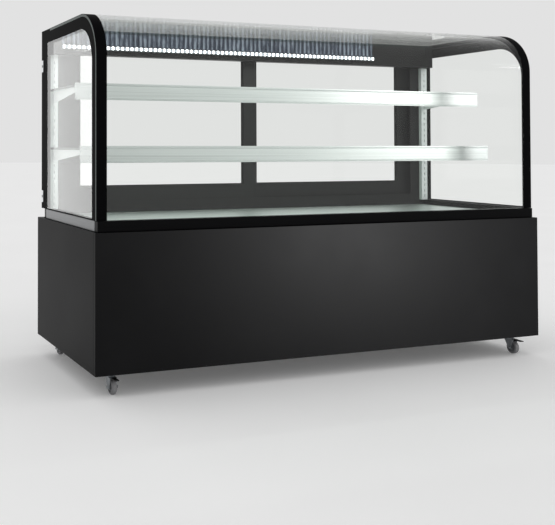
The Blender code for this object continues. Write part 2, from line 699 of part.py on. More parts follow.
def rear_frame():
    foot, head = BASE_TOP + GAP, HEADER_UNDERSIDE - GAP
    wall = JAMB_WALL
    for side, name in ((-1, "left_rear_post"), (1, "right_rear_post")):
        section = [(POST_OUTER, FRAME_FRONT), (POST_OUTER, FRAME_REAR), (JAMB_TIP, FRAME_REAR),
                   (JAMB_TIP, FRAME_REAR - wall), (POST_INNER, FRAME_REAR - wall),
                   (POST_INNER, FRAME_FRONT + wall), (JAMB_TIP, FRAME_FRONT + wall),
                   (JAMB_TIP, FRAME_FRONT)]
        outline(name, [(side * x, y) for x, y in section], "Z", foot, head, BLACK_ALUMINIUM)
    header = [(HEADER_FRONT, HEADER_FOOT), (HEADER_FRONT, TOP), (FRAME_REAR, TOP),
              (FRAME_REAR, HEADER_UNDERSIDE), (HEADER_FRONT + HEADER_BOX, HEADER_UNDERSIDE),
              (HEADER_FRONT + HEADER_BOX, HEADER_FOOT)]
    outline("top_header", header, "X", -POST_OUTER, POST_OUTER, DARK_ALUMINIUM)
    floor = foot + TRACK_FLOOR
    track("door_bottom_track", foot, floor, floor + TRACK_LIP_HEIGHT)
    roof = HEADER_UNDERSIDE - GAP
    track("door_top_track", roof, roof - TRACK_LIP, roof - TRACK_LIP - TOP_TRACK_LIP)


def track(name, back, floor, lip):
    """A double channel: three lips stand on one floor, in either direction of Z."""
    y, section = FRAME_FRONT, [(FRAME_FRONT, back)]
    for index in range(3):
        section += [(y, lip), (y + TRACK_LIP, lip)]
        if index < 2:
            section += [(y + TRACK_LIP, floor), (y + TRACK_LIP + CHANNEL, floor)]
        y += TRACK_LIP + CHANNEL
    section += [(FRAME_REAR, back)]
    end = JAMB_TIP - GAP
    outline(name, section, "X", -end, end, DARK_ALUMINIUM)


def door(side, name, plane):
    """One sliding door. Its frame grips the pane, and a cup is let into the outer stile."""
    near, far = -side * DOOR_OVERLAP / 2, side * DOOR_END
    left, right = min(near, far), max(near, far)
    back = plane + DOOR_THICKNESS
    holder = pivot(name, ((left + right) / 2, (plane + back) / 2, DOOR_FOOT))
    frame = box(name + "_frame", (left, plane, DOOR_FOOT), (right, back, DOOR_HEAD),
                DARK_ALUMINIUM, SOFT_EDGE, parent=holder)
    daylight_low = Vector((left + STILE, plane, DOOR_FOOT + BOTTOM_RAIL))
    daylight_high = Vector((right - STILE, back, DOOR_HEAD - TOP_RAIL))
    mid = (plane + back) / 2
    rebate = Vector((DOOR_REBATE, 0, DOOR_REBATE))
    groove_low = Vector((daylight_low.x, mid - DOOR_GLASS / 2 - GAP, daylight_low.z)) - rebate
    groove_high = Vector((daylight_high.x, mid + DOOR_GLASS / 2 + GAP, daylight_high.z)) + rebate
    through = Vector((0, DOOR_THICKNESS, 0))
    cut(frame, boxes_cutter(name + "_daylight_cutter",
                            [(daylight_low - through, daylight_high + through)]))
    cut(frame, boxes_cutter(name + "_groove_cutter", [(groove_low, groove_high)]))
    slack = Vector((GAP, GAP, GAP))
    box(name + "_glass", groove_low + slack, groove_high - slack, CLEAR_GLASS, parent=holder)

    stile_x = side * (JAMB_TIP - PULL_FROM_JAMB - PULL_WIDTH / 2)
    stile_z = (DOOR_FOOT + DOOR_HEAD) / 2
    half = Vector((PULL_WIDTH / 2, 0, PULL_HEIGHT / 2))
    low = Vector((stile_x, back - PULL_DEPTH, stile_z)) - half
    high = Vector((stile_x, back - GAP, stile_z)) + half
    cup = tray(name + "_handle", low, high, [(0, 1, 0)], BLACK_PLASTIC, PULL_WALL, edge=0)
    cup.parent = holder
    cup.location -= holder.location
    cut(frame, boxes_cutter(name + "_pull_cutter",
                            [(low - slack, high + slack + Vector((0, PULL_DEPTH, 0)))]))


def deck():
    side = FLOOR_SIDE - SILL_INSET - SILL_WIDTH - GAP
    front = FRONT + SILL_INSET + SILL_WIDTH + GAP
    plate = tray("deck_plate", (-side, front, TUB_TOP + GAP), (side, DECK_REAR, DECK_TOP),
                 [(0, 0, -1)], STAINLESS, edge=0)
    count = int((2 * side - DECK_SLOT_FROM_EDGE * 2) / DECK_SLOT_PITCH)
    slots = []
    for index in range(count):
        x = (index - (count - 1) / 2) * DECK_SLOT_PITCH
        for y in (front + DECK_SLOT_FROM_EDGE, DECK_REAR - DECK_SLOT_FROM_EDGE):
            slots.append(((x - DECK_SLOT[0] / 2, y - DECK_SLOT[1] / 2, DECK_TOP - 2 * SHEET),
                          (x + DECK_SLOT[0] / 2, y + DECK_SLOT[1] / 2, DECK_TOP + SHEET)))
    cut(plate, boxes_cutter("deck_slot_cutter", slots))


def slot_height(index):
    return STANDARD_FOOT + FIRST_SLOT + index * SLOT_PITCH


def standards():
    for side, name in ((-1, "left_shelf_standard"), (1, "right_shelf_standard")):
        ends = sorted((side * STANDARD_OUTER, side * (STANDARD_OUTER - STANDARD_WIDTH)))
        strip = box(name, (ends[0], STANDARD_FRONT, STANDARD_FOOT),
                    (ends[1], STANDARD_FRONT + STANDARD_DEPTH, STANDARD_HEAD), WHITE_PLASTIC)
        x = side * STANDARD_MIDDLE
        slots = [((x - SLOT[0] / 2, STANDARD_FRONT - SHEET, slot_height(i) - SLOT[2] / 2),
                  (x + SLOT[0] / 2, STANDARD_FRONT + SLOT[1], slot_height(i) + SLOT[2] / 2))
                 for i in range(SLOT_COUNT)]
        cut(strip, boxes_cutter(name + "_slots", slots))


def shelf(level, share, reach):
    """A glass shelf on two hooked brackets, with a ticket rail on its front edge."""
    index = round(share * SLOT_COUNT)
    tab = slot_height(index)
    under = tab + SLOT[2]
    head = under + GAP
    front = STANDARD_FRONT - reach
    glass_front = front + RAIL_DEPTH - RAIL_GROOVE + GAP
    hook = STANDARD_FRONT + SLOT[1] - GAP
    tab_half = SLOT[2] / 2 - GAP
    tip = glass_front + RAIL_GROOVE + RAIL_LIP
    lower_tab = tab - SLOT_PITCH
    blade = [(tip, under - BRACKET_TIP_HEIGHT), (tip, under), (STANDARD_FRONT - GAP, under)]
    for middle_z in (tab, lower_tab):
        blade += [(STANDARD_FRONT - GAP, middle_z + tab_half), (hook, middle_z + tab_half),
                  (hook, middle_z - tab_half), (STANDARD_FRONT - GAP, middle_z - tab_half)]
    blade += [(STANDARD_FRONT - GAP, under - BRACKET_REAR_HEIGHT)]
    for side, word in ((-1, "left"), (1, "right")):
        x = side * STANDARD_MIDDLE
        outline(f"{level}_{word}_bracket", blade, "X", x - BRACKET / 2, x + BRACKET / 2,
                STAINLESS)
    width = STANDARD_OUTER
    box(f"{level}_shelf_glass", (-width, glass_front, head),
        (width, STANDARD_FRONT - 2 * GAP, head + SHELF_GLASS), CLEAR_GLASS, EDGE)
    rail_top = head + SHELF_GLASS + RAIL_LIP
    groove = front + RAIL_DEPTH - RAIL_GROOVE
    rail = [(front, rail_top - RAIL_HEIGHT), (front, rail_top), (front + RAIL_DEPTH, rail_top),
            (front + RAIL_DEPTH, head + SHELF_GLASS + GAP), (groove, head + SHELF_GLASS + GAP),
            (groove, head - GAP), (front + RAIL_DEPTH, head - GAP),
            (front + RAIL_DEPTH, head - RAIL_LIP), (groove, head - RAIL_LIP),
            (groove, rail_top - RAIL_HEIGHT)]
    outline(f"{level}_shelf_rail", rail, "X", -width, width, WHITE_PLASTIC)


def lamp():
    depth, height = LAMP_SIZE
    foot = HEADER_FOOT + LAMP_ABOVE_HEADER_FOOT
    box("led_lamp", (-STANDARD_OUTER + STANDARD_WIDTH, HEADER_FRONT - GAP - depth, foot),
        (POST_OUTER - LAMP_SHORT_OF_RIGHT - STANDARD_WIDTH, HEADER_FRONT - GAP, foot + height),
        LAMP_WHITE, SOFT_EDGE)


def caster(name, side, end, braked):
    """A swivel fork on the base pan, with its wheel and, at the front, a brake pedal."""
    x, y = side * (FLOOR_SIDE - CASTER_FROM_SIDE), end * (DEPTH / 2 - CASTER_FROM_END)
    swivel = pivot(name + "_caster", (x, y, 0))
    axle_y = y + end * TRAIL
    axle = Vector((x, axle_y, WHEEL_RADIUS))
    half = WHEEL_WIDTH / 2 + FORK_GAP + FORK_WALL
    crown = 2 * WHEEL_RADIUS + WHEEL_TO_CROWN + FORK_WALL
    ends = sorted((y - end * CROWN_PAST_SWIVEL, axle_y + end * CROWN_PAST_AXLE))
    low = Vector((x - half, ends[0], WHEEL_RADIUS - CHEEK_FOOT))
    high = Vector((x + half, ends[1], crown))
    fork = tray(name + "_fork", low, high, [(0, 0, -1), (0, -1, 0), (0, 1, 0)], ZINC,
                FORK_WALL, edge=0)
    bm = bmesh.new()
    bm.from_mesh(fork.data)
    for vert in bm.verts:
        if vert.co.z < 0:
            middle_y = axle_y - fork.location.y
            vert.co.y = middle_y + math.copysign(CHEEK_FOOT, vert.co.y)
    bmesh.ops.translate(bm, vec=Vector(fork.location) - Vector((x, y, 0)), verts=bm.verts)
    bm.to_mesh(fork.data)
    bm.free()
    fork.parent = swivel
    fork.location = (0, 0, 0)
    head_height = PAN_FLOOR - GAP - crown
    unite(fork, cylinder(name + "_swivel_head", (x, y, crown + head_height / 2 - GAP),
                         SWIVEL_RADIUS, head_height, (0, 0, 1), steps=20, cutter=True))
    unite(fork, cylinder(name + "_axle", axle, AXLE_RADIUS, 2 * half - FORK_WALL, (1, 0, 0),
                         steps=12, cutter=True))
    bore = AXLE_RADIUS + AXLE_CLEARANCE
    tread = WHEEL_WIDTH / 2
    rim = WHEEL_RADIUS - TREAD_EDGE
    profile = [(bore, tread), (rim, tread), (WHEEL_RADIUS, tread * TREAD_FLAT),
               (WHEEL_RADIUS, -tread * TREAD_FLAT), (rim, -tread), (bore, -tread), (bore, tread)]
    turned(name + "_wheel", profile, axle, (1, 0, 0), ROUND, CASTER_GREY, parent=swivel)
    if braked:
        brake_pedal(name, fork, x, ends[0] if end < 0 else ends[1], end, crown, swivel)


def brake_pedal(name, fork, x, crown_front, end, crown, swivel):
    """A foot lever that turns on a pin held by two ears on the fork's crown."""
    pin = Vector((x, crown_front + end * PEDAL_FROM_CROWN, crown - FORK_WALL / 2))
    for side in (-1, 1):
        near, far = side * (PEDAL_WIDTH / 2 + GAP), side * (PEDAL_WIDTH / 2 + GAP + EAR)
        ys = sorted((crown_front - end * PEDAL_FROM_CROWN / 2, pin.y + end * PEDAL_EYE))
        unite(fork, box(f"{name}_ear{side}", (x + min(near, far), ys[0], crown - FORK_WALL),
                        (x + max(near, far), ys[1], crown), cutter=True))
    unite(fork, cylinder(name + "_pedal_pin", pin, PEDAL_PIN, PEDAL_WIDTH + EAR, (1, 0, 0),
                         steps=12, cutter=True))
    tip = pin.y + end * PEDAL_LENGTH
    pedal = box(name + "_brake_pedal",
                (x - PEDAL_WIDTH / 2, min(pin.y, tip), pin.z - PEDAL / 2),
                (x + PEDAL_WIDTH / 2, max(pin.y, tip), pin.z + PEDAL / 2), BLACK_PLASTIC,
                origin=pin, parent=swivel)
    unite(pedal, cylinder(name + "_pedal_eye", pin, PEDAL_EYE, PEDAL_WIDTH, (1, 0, 0),
                          steps=16, cutter=True))
    cut(pedal, cylinder(name + "_pedal_bore", pin, PEDAL_PIN + AXLE_CLEARANCE, 2 * PEDAL_WIDTH,
                        (1, 0, 0), steps=16, cutter=True))


base_panels()
rear_panel()
cord_gland()
controls()
cold_well()
condensing_unit()
sills()
glazing()
rear_frame()
door(-1, "left_door", FRAME_FRONT + TRACK_LIP + RUN)
door(1, "right_door", FRAME_FRONT + 2 * TRACK_LIP + CHANNEL + RUN)
deck()
standards()
shelf("upper", UPPER_SHELF_SHARE, UPPER_SHELF_REACH)
shelf("lower", LOWER_SHELF_SHARE, LOWER_SHELF_REACH)
lamp()
caster("front_left", -1, -1, True)
caster("front_right", 1, -1, True)
caster("rear_left", -1, 1, False)
caster("rear_right", 1, 1, False)
bpy.context.view_layer.update()
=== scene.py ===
# %% [markdown]
# # A refrigerated glass showcase, finished in Blender
#
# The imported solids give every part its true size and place. This lesson gives them their looks: the
# pieces that are too fine for the solids are worked out with numpy, and every piece gets the finish
# of the real one. The customer's side faces -Y and the service side, with the doors, faces +Y.

# %% Load the frame
import math

import bpy
import numpy as np
from mathutils import Matrix, Vector


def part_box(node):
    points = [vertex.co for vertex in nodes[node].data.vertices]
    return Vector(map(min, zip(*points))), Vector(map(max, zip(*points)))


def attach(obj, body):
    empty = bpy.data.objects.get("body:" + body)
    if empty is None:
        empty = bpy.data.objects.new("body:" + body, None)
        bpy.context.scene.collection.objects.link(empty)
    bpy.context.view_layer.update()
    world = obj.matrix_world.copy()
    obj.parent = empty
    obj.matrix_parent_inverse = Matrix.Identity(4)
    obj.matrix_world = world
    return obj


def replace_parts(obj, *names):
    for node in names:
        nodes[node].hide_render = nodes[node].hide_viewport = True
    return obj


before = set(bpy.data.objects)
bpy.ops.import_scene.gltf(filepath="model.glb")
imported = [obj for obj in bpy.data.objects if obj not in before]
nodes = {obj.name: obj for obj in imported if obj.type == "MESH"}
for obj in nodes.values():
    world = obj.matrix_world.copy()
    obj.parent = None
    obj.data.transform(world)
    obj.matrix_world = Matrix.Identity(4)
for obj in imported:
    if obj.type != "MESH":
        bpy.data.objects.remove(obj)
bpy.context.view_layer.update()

SIDES = ((-1, "left"), (1, "right"))

# %% [markdown]
# ## Tools for surfaces
#
# A swept or turned piece is a grid of points: one parameter runs round a section and the other runs
# along the piece. Blender's own primitives could be bent into such shapes, but a grid that is worked
# out whole gives even faces and a shape that can be read from its formula.

# %% A grid of points becomes a mesh
def grid_faces(rows, columns, along=False):
    """A grid's faces: (i, j), (i, j+1), (i+1, j+1), (i+1, j). The section is closed, so j wraps
    round, and so does i where the piece closes on itself along its length. Open ends are capped.
    """
    i, j = np.meshgrid(np.arange(rows if along else rows - 1), np.arange(columns), indexing="ij")
    after_i, after_j = (i + 1) % rows, (j + 1) % columns
    faces = np.stack([i * columns + j, i * columns + after_j, after_i * columns + after_j,
                      after_i * columns + j], axis=-1).reshape(-1, 4).tolist()
    if not along:
        faces.append(list(range(columns))[::-1])
        faces.append([(rows - 1) * columns + k for k in range(columns)])
    return faces


def solid(name, points, faces, body, materials, slot, smooth=35, picks=None):
    """Closed meshes in one object at the origin, turned right side out, that ride on a body.

    The volume's sign says which way the faces look: it is the sum over triangles of a . (b x c).
    """
    mesh = bpy.data.meshes.new(name)
    mesh.from_pydata(np.asarray(points, float).reshape(-1, 3).tolist(), [], faces)
    if picks is not None:
        mesh.polygons.foreach_set("material_index", picks)
    mesh.update()
    mesh.calc_loop_triangles()
    corners = [list(triangle.vertices) for triangle in mesh.loop_triangles]
    if np.linalg.det(np.array([v.co for v in mesh.vertices])[corners]).sum() < 0:
        mesh.flip_normals()
    for material in materials:
        mesh.materials.append(material)
    obj = bpy.data.objects.new(name, mesh)
    bpy.context.scene.collection.objects.link(obj)
    if smooth:
        mesh.shade_smooth()
        mesh.set_sharp_from_angle(angle=math.radians(smooth))
    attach(obj, body)
    return obj


def surface(name, points, body, material, slot, along=False, smooth=35, section_slots=None,
            cap_slot=0):
    """A solid whose points[i, j] is step i along the piece and step j round its section.

    `material` may be a list: section_slots then says which of them each step of the section
    takes, and cap_slot which one the caps take.
    """
    rows, columns = np.shape(points)[:2]
    faces = grid_faces(rows, columns, along)
    picks = None
    if section_slots is not None:
        picks = [section_slots[k % columns % len(section_slots)] for k in range(len(faces))]
        if not along:
            picks[-2:] = [cap_slot] * 2
    materials = material if isinstance(material, list) else [material]
    return solid(name, points, faces, body, materials, slot, smooth, picks)


print("tools: grid_faces, solid, surface")

# %% [markdown]
# ## Sections that are carried or turned
#
# Extrusions, seals and bent glass have the same section all along, and wheels and screw heads have the
# same profile all round. So two functions give most grids: one carries a section along a line and cuts
# true mitres at its corners, and one turns a profile about an axis.

# %% A section carried along a line
def directions(line, closed):
    """Unit vectors along a line, before and after each of its points."""
    after = np.roll(line, -1, axis=0) - line
    after /= np.linalg.norm(after, axis=1)[:, None]
    if not closed:
        after[-1] = after[-2]
    before = np.roll(after, 1, axis=0)
    if not closed:
        before[0] = after[0]
    return before, after


def sweep(line, section, flat, closed=False):
    """Carries a section along a line that lies in one plane, and returns the grid.

    The section's first number is laid off along the mitre, which is the mean of the normals before
    and after a point, over the cosine of half the turn. Its second is laid off along `flat`, the
    plane's own normal.
    """
    line, section, flat = (np.asarray(a, float) for a in (line, section, flat))
    before, after = (np.cross(flat, along) for along in directions(line, closed))
    mitre = before + after
    mitre /= np.linalg.norm(mitre, axis=1)[:, None]
    mitre /= (mitre * after).sum(axis=1)[:, None]
    return (line[:, None] + mitre[:, None] * section[None, :, :1]
            + flat * section[None, :, 1:])


def turn(profile, centre, axis, steps=48):
    """Turns a profile of (radius, station) about an axis: centre + station * axis + radius * ring."""
    profile, centre = np.asarray(profile, float), np.asarray(centre, float)
    axis = np.asarray(axis, float)
    side = np.cross(axis, [0.0, 0.0, 1.0]) if abs(axis[2]) < 0.9 else np.array([1.0, 0.0, 0.0])
    side /= np.linalg.norm(side)
    angle = np.linspace(0, 2 * np.pi, steps, endpoint=False)[:, None]
    ring = np.cos(angle) * side + np.sin(angle) * np.cross(axis, side)
    return centre + profile[:, None, 1:] * axis + profile[:, None, :1] * ring[None]


def chamfered(width, height, cut, centre=(0.0, 0.0)):
    """A rectangle's eight corners, each corner cut back by the same small amount."""
    u, v = width / 2, height / 2
    corners = [(u, cut - v), (u, v - cut), (u - cut, v), (cut - u, v), (-u, v - cut),
               (-u, cut - v), (cut - u, -v), (u - cut, -v)]
    return np.array(corners) + np.array(centre)


print("tools: sweep, turn, chamfered")

# %% [markdown]
# ## Tools for finishes
#
# Every finish is one Principled shader, or two shaders mixed for glass. Even values are typed on the
# shader's own sockets, and only what changes over a surface comes from nodes.

# %% Colours and nodes
def colour(code):
    """A hex sRGB colour made linear: c / 12.92 where dark, or ((c + 0.055) / 1.055) ** 2.4."""
    c = np.array([int(code[k:k + 2], 16) for k in (0, 2, 4)]) / 255
    linear = np.where(c <= 0.04045, c / 12.92, ((c + 0.055) / 1.055) ** 2.4)
    return (*(float(value) for value in linear), 1.0)


def add(tree, kind, inputs=None, **settings):
    """One node. Settings go on the node, and each input takes a value or another node's output."""
    made = tree.nodes.new("ShaderNode" + kind)
    for name, value in settings.items():
        setattr(made, name, value)
    for name, value in (inputs or {}).items():
        if isinstance(value, bpy.types.NodeSocket):
            tree.links.new(value, made.inputs[name])
        else:
            made.inputs[name].default_value = value
    return made


def start(name, code, roughness, **sockets):
    """A material with one Principled shader. Returns it with its tree, shader and coordinates."""
    made = bpy.data.materials.new(name)
    made.use_nodes = True
    tree = made.node_tree
    shader = tree.nodes["Principled BSDF"]
    shader.inputs["Base Color"].default_value = colour(code)
    shader.inputs["Roughness"].default_value = roughness
    for socket, value in sockets.items():
        shader.inputs[socket.replace("_", " ")].default_value = value
    return made, tree, shader, add(tree, "TexCoord").outputs["Object"]


def ramp(tree, fac, stops):
    """Spreads a 0 to 1 number over colour stops, given as (place, hex colour)."""
    made = add(tree, "ValToRGB", {"Fac": fac})
    made.color_ramp.elements[0].position = stops[0][0]
    made.color_ramp.elements[1].position = stops[-1][0]
    for where, _ in stops[1:-1]:
        made.color_ramp.elements.new(where)
    for element, (_, code) in zip(made.color_ramp.elements, stops):
        element.color = colour(code)
    return made.outputs["Color"]


def per_metre(millimetres):
    """How often a detail of this size repeats in one metre, which is a texture's scale."""
    return 1000.0 / millimetres


def mottle(tree, shader, vector, scale, stops, detail=2.0):
    """Noise spread over colour stops, as the base colour. Returns the noise for other uses."""
    noise = add(tree, "TexNoise", {"Vector": vector, "Scale": scale, "Detail": detail})
    tree.links.new(ramp(tree, noise.outputs["Fac"], stops), shader.inputs["Base Color"])
    return noise.outputs["Fac"]


def grain_along(tree, at, axis, across, along):
    """Coordinates for lines that run along one axis, this many millimetres apart and long."""
    scale = [per_metre(across)] * 3
    scale["XYZ".index(axis)] = per_metre(along)
    return add(tree, "Mapping", {"Vector": at, "Scale": scale}).outputs["Vector"]


def speckled(name, code, roughness, size, stops, detail=2.0, **sockets):
    """A whole finish whose colour wanders: noise of this size, in millimetres, over the stops."""
    made, tree, shader, at = start(name, code, roughness, **sockets)
    mottle(tree, shader, at, per_metre(size), stops, detail)
    return made


def emboss(tree, shader, height, strength, distance):
    """A bump, whose height in metres is `distance` at full strength."""
    bump = add(tree, "Bump", {"Height": height, "Strength": strength, "Distance": distance})
    tree.links.new(bump.outputs["Normal"], shader.inputs["Normal"])


print("finishes start from: start, mottle, grain_along, speckled, emboss")

# %% [markdown]
# ## Black powder coat
#
# The base is folded steel sheet with black polyester powder baked on it. The powder melts into a skin
# with a faint orange peel, so a lamp shows in it as a soft glow. A noise bump gives the peel, and a
# second, slow noise varies the gloss a little.

# %% Powder coat
def powder_coat():
    """Black with an orange peel 2.5 mm across and a gloss that varies over 220 mm."""
    made, tree, shader, at = start("black_powder_coat", "0E0E0F", 0.42, Specular_IOR_Level=0.06)
    peel = add(tree, "TexNoise", {"Vector": at, "Scale": per_metre(2.5), "Detail": 2.0})
    emboss(tree, shader, peel.outputs["Fac"], 0.05, 0.0004)
    slow = mottle(tree, shader, at, per_metre(220), [(0.3, "060607"), (0.7, "0A0A0B")], 3.0)
    gloss = add(tree, "MapRange", {"Value": slow, "To Min": 0.38, "To Max": 0.46})
    tree.links.new(gloss.outputs["Result"], shader.inputs["Roughness"])
    return made


POWDER = powder_coat()
print("powder coat on the base panels")

# %% [markdown]
# ## Anodised aluminium
#
# Sills, posts and door frames are aluminium extrusions. The die leaves fine lines along the length,
# and anodising dyes the skin black or graphite with a dull, even sheen. Noise that is squeezed across
# the extrusion and stretched along it draws the die lines.

# %% Extrusions, dyed black and graphite
def anodised(name, dark, light, roughness, along, specular=0.25):
    """Die lines: noise 0.8 mm across and 300 mm along the extrusion."""
    made, tree, shader, at = start(name, dark, roughness, Specular_IOR_Level=specular)
    lines = mottle(tree, shader, grain_along(tree, at, along, 0.8, 300), 1.0,
                   [(0.35, dark), (0.65, light)], 3.0)
    emboss(tree, shader, lines, 0.08, 0.0003)
    return made


BLACK_X = anodised("black_anodised_lengthwise", "050506", "09090A", 0.42, "X", 0.04)
BLACK_Y = anodised("black_anodised_crosswise", "050506", "09090A", 0.42, "Y", 0.04)
BLACK_Z = anodised("black_anodised_upright", "1E1E1E", "262626", 0.45, "Z", 0.10)
GRAPHITE_X = anodised("graphite_anodised_lengthwise", "1B1B1B", "232323", 0.45, "X", 0.10)
GRAPHITE_Z = anodised("graphite_anodised_upright", "1E1E1E", "282828", 0.45, "Z", 0.10)
SATIN_TRIM = anodised("natural_anodised_trim", "5E6062", "6E7072", 0.38, "Y", 0.5)
print("anodised: black, graphite and natural")

# %% [markdown]
# ## Glass
#
# A refracting shader would be true to float glass, but it turns all behind it into slow, speckled
# light. A pane shows two things: what is behind it, and a mirror that grows towards grazing angles. So
# a Transparent and a Glossy shader are mixed by Schlick's rule, 0.02 + 0.98 * (1 - cosine) ** 5, where
# 0.02 is half of what bare glass gives, as under an anti-glare coat. Polished edges are seen along the
# glass, so they look deep green, and have a finish of their own.

# %% Panes and polished edges
FACE_ON = 0.02  # share of light that a pane mirrors when seen square on


def float_glass(name, tint, mirror=1.0):
    """A tinted Transparent shader and a sharp mirror, mixed by Schlick's rule times `mirror`."""
    made = bpy.data.materials.new(name)
    made.use_nodes = True
    tree = made.node_tree
    tree.nodes.remove(tree.nodes["Principled BSDF"])
    facing = add(tree, "LayerWeight", {"Blend": 0.5}).outputs["Facing"]
    grazing = add(tree, "Math", {0: facing, 1: 5.0}, operation="POWER")
    share = add(tree, "MapRange", {"Value": grazing.outputs[0], "To Min": FACE_ON * mirror,
                                   "To Max": mirror})
    clear = add(tree, "BsdfTransparent", {"Color": colour(tint)})
    gloss = add(tree, "BsdfAnisotropic", {"Color": (1.0, 1.0, 1.0, 1.0), "Roughness": 0.0})
    both = add(tree, "MixShader", {"Fac": share.outputs["Result"], 1: clear.outputs[0],
                                   2: gloss.outputs[0]})
    tree.links.new(both.outputs[0], tree.nodes["Material Output"].inputs["Surface"])
    return made


PANE = float_glass("float_glass", "FEFFFE")
QUIET_PANE = float_glass("coated_float_glass", "FFFFFF", 0.3)
SHELF_PANE = float_glass("float_glass_shelf", "F6FBF8")
# slow streaks from the grinding belt
EDGE = speckled("polished_glass_edge", "1E3A33", 0.25, 12, [(0.35, "101F1B"), (0.7, "243B34")],
                Specular_IOR_Level=0.08)
# slow ripples from tooling by hand
SEAL = speckled("black_silicone", "060708", 0.4, 25, [(0.3, "050606"), (0.7, "0B0D0C")], 1.0,
                Specular_IOR_Level=0.1)
print("glass: panes and edges")

# %% [markdown]
# ## The bent front pane
#
# One sheet of toughened glass stands on the sill, turns through a quarter circle and runs back to the
# header. A box with a bend modifier could make it, but a section carried along the pane's middle line
# keeps the thickness true through the bend. The sheet's ends are polished and look green.

# %% Front pane
GLASS = 0.010
ARRIS = 0.0008  # ground off each edge of the glass

front_low, front_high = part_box("front_curved_glass")
points = np.array([v.co for v in nodes["front_curved_glass"].data.vertices])
on_front = np.abs(points[:, 1] - front_low.y) < 1e-5
BEND = front_high.z - points[on_front, 2].max()  # outer radius, measured on the solid


def quarter(front, top, radius, steps):
    """A quarter circle in Y and Z, from its foremost point up to its highest one."""
    angle = np.linspace(np.pi, np.pi / 2, steps)
    return np.stack([front + radius + radius * np.cos(angle),
                     top - radius + radius * np.sin(angle)], axis=1)


def run(start_at, end_at, steps=8):
    """Points along a straight run, without its last one."""
    return np.linspace(start_at, end_at, steps, endpoint=False)


def bent_line(inset, foot, back):
    """The pane's line in Y and Z, set in from its outer face: up, a quarter circle, then back."""
    radius, front, top = BEND - inset, front_low.y + inset, front_high.z - inset
    return np.concatenate([run((front, foot), (front, top - radius)),
                           quarter(front, top, radius, 40),
                           run((back, top), (front + radius, top))[::-1]])


def in_x(line, x=0.0):
    """Lifts a Y and Z line into space at one X."""
    return np.column_stack([np.full(len(line), x), line])


middle = in_x(bent_line(GLASS / 2, front_low.z, front_high.y))
width = front_high.x - front_low.x
section = chamfered(GLASS, width, ARRIS)
FACES_THEN_EDGES = [0, 1, 1, 1, 0, 1, 1, 1]  # the two wide faces are clear, the rest is edge
front_glass = surface("front_glass", sweep(middle, section, (1, 0, 0)), "case", [PANE, EDGE],
                      "clear_glass", section_slots=FACES_THEN_EDGES, cap_slot=1)
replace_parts(front_glass, "front_curved_glass")
print("front pane: bend radius %.0f mm, %.0f mm wide" % (1000 * BEND, 1000 * width))

# %% [markdown]
# ## Black print on the glass
#
# Glass that is bonded to metal or to more glass carries a fired, matt black print that hides the glue.
# Here it runs up both ends of the front pane and frames each end pane. It is thinner than paper, so it
# is drawn 0.3 mm thick and laid on the outer face.

# %% Print along the ends of the front pane
BAND = 0.037  # width of the print at each end of the front pane
PRINT = 0.0003  # its thickness
# a fine speck from the firing
BLACK_PRINT = speckled("fired_black_print", "050506", 0.6, 1.2, [(0.4, "040405"), (0.7, "080809")],
                       Specular_IOR_Level=0.02)
for side, word in SIDES:
    band = chamfered(PRINT, BAND, PRINT / 3,
                     (-PRINT / 2, side * (front_high.x - BAND / 2)))
    outside = in_x(bent_line(0.0, front_low.z, front_high.y))
    surface(word + "_front_print", sweep(outside, -band * [1, -1], (1, 0, 0)), "case",
            BLACK_PRINT, "clear_glass")
print("front print:", BAND, "m wide at each end")

# %% [markdown]
# ## End panes
#
# Each end is a flat pane cut to the same bend, a little inside the front pane. Its print is a frame:
# deep along the top, deeper down the rear, where it hides the post, and narrow at the front. The
# frame is a ruled surface between two lines with the same number of points.

# %% End panes and their frames
PRINT_TOP, PRINT_REAR, PRINT_FRONT, PRINT_FOOT = 0.052, 0.080, 0.032, 0.004
CLEAR_CORNER = 0.120  # radius of the clear area's corner under the bend
FIT = 0.0005  # air between the end pane and the front pane
STEP_BACK = 0.010  # where the clear area's line turns down, ahead of its rear edge


def pane_outline(front, rear, foot, top, radius, notch=0.0, step_at=0.0):
    """The end pane's line: up the front, round the bend, back, up a small step, down the rear."""
    step_at = step_at or rear - STEP_BACK
    return np.concatenate([run((front, foot), (front, top - radius)),
                           quarter(front, top, radius, 32),
                           run((front + radius, top), (step_at, top))[1:],
                           [[step_at, top]],
                           run((step_at, top + notch), (rear, top + notch), 4),
                           run((rear, top + notch), (rear, foot)),
                           run((rear, foot), (front, foot))])


for side, word in SIDES:
    pane_low, pane_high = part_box(word + "_side_glass")
    face, back_face = sorted((pane_low.x, pane_high.x), key=abs, reverse=True)
    seat = front_high.z - GLASS - FIT
    outline = pane_outline(pane_low.y, pane_high.y, pane_low.z, seat, BEND - GLASS - FIT,
                           pane_high.z - seat, front_high.y + FIT)
    clear_finish = PANE if side < 0 else QUIET_PANE
    pane = surface(word + "_end_pane", [in_x(outline, face), in_x(outline, back_face)], "case",
                   [clear_finish, SEAL], "clear_glass", section_slots=[1])
    pane.data.polygons.foreach_set("use_smooth", [False] * len(pane.data.polygons))
    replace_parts(pane, word + "_side_glass")
    clear = pane_outline(pane_low.y + PRINT_FRONT, pane_high.y - PRINT_REAR,
                         pane_low.z + PRINT_FOOT, front_high.z - PRINT_TOP,
                         CLEAR_CORNER)
    ring = np.stack([in_x(outline, face), in_x(clear, face), in_x(clear, face + side * PRINT),
                     in_x(outline, face + side * PRINT)], axis=1)
    surface(word + "_end_print", ring, "case", BLACK_PRINT, "clear_glass", along=True, smooth=30)
print("end panes: two, each with its print frame")

# %% [markdown]
# ## Plain panes
#
# The doors' panes and the shelves are flat sheets with a small ground arris on every edge. A chamfered
# section is carried along X; the faces take the pane finish and the narrow edges the green one.

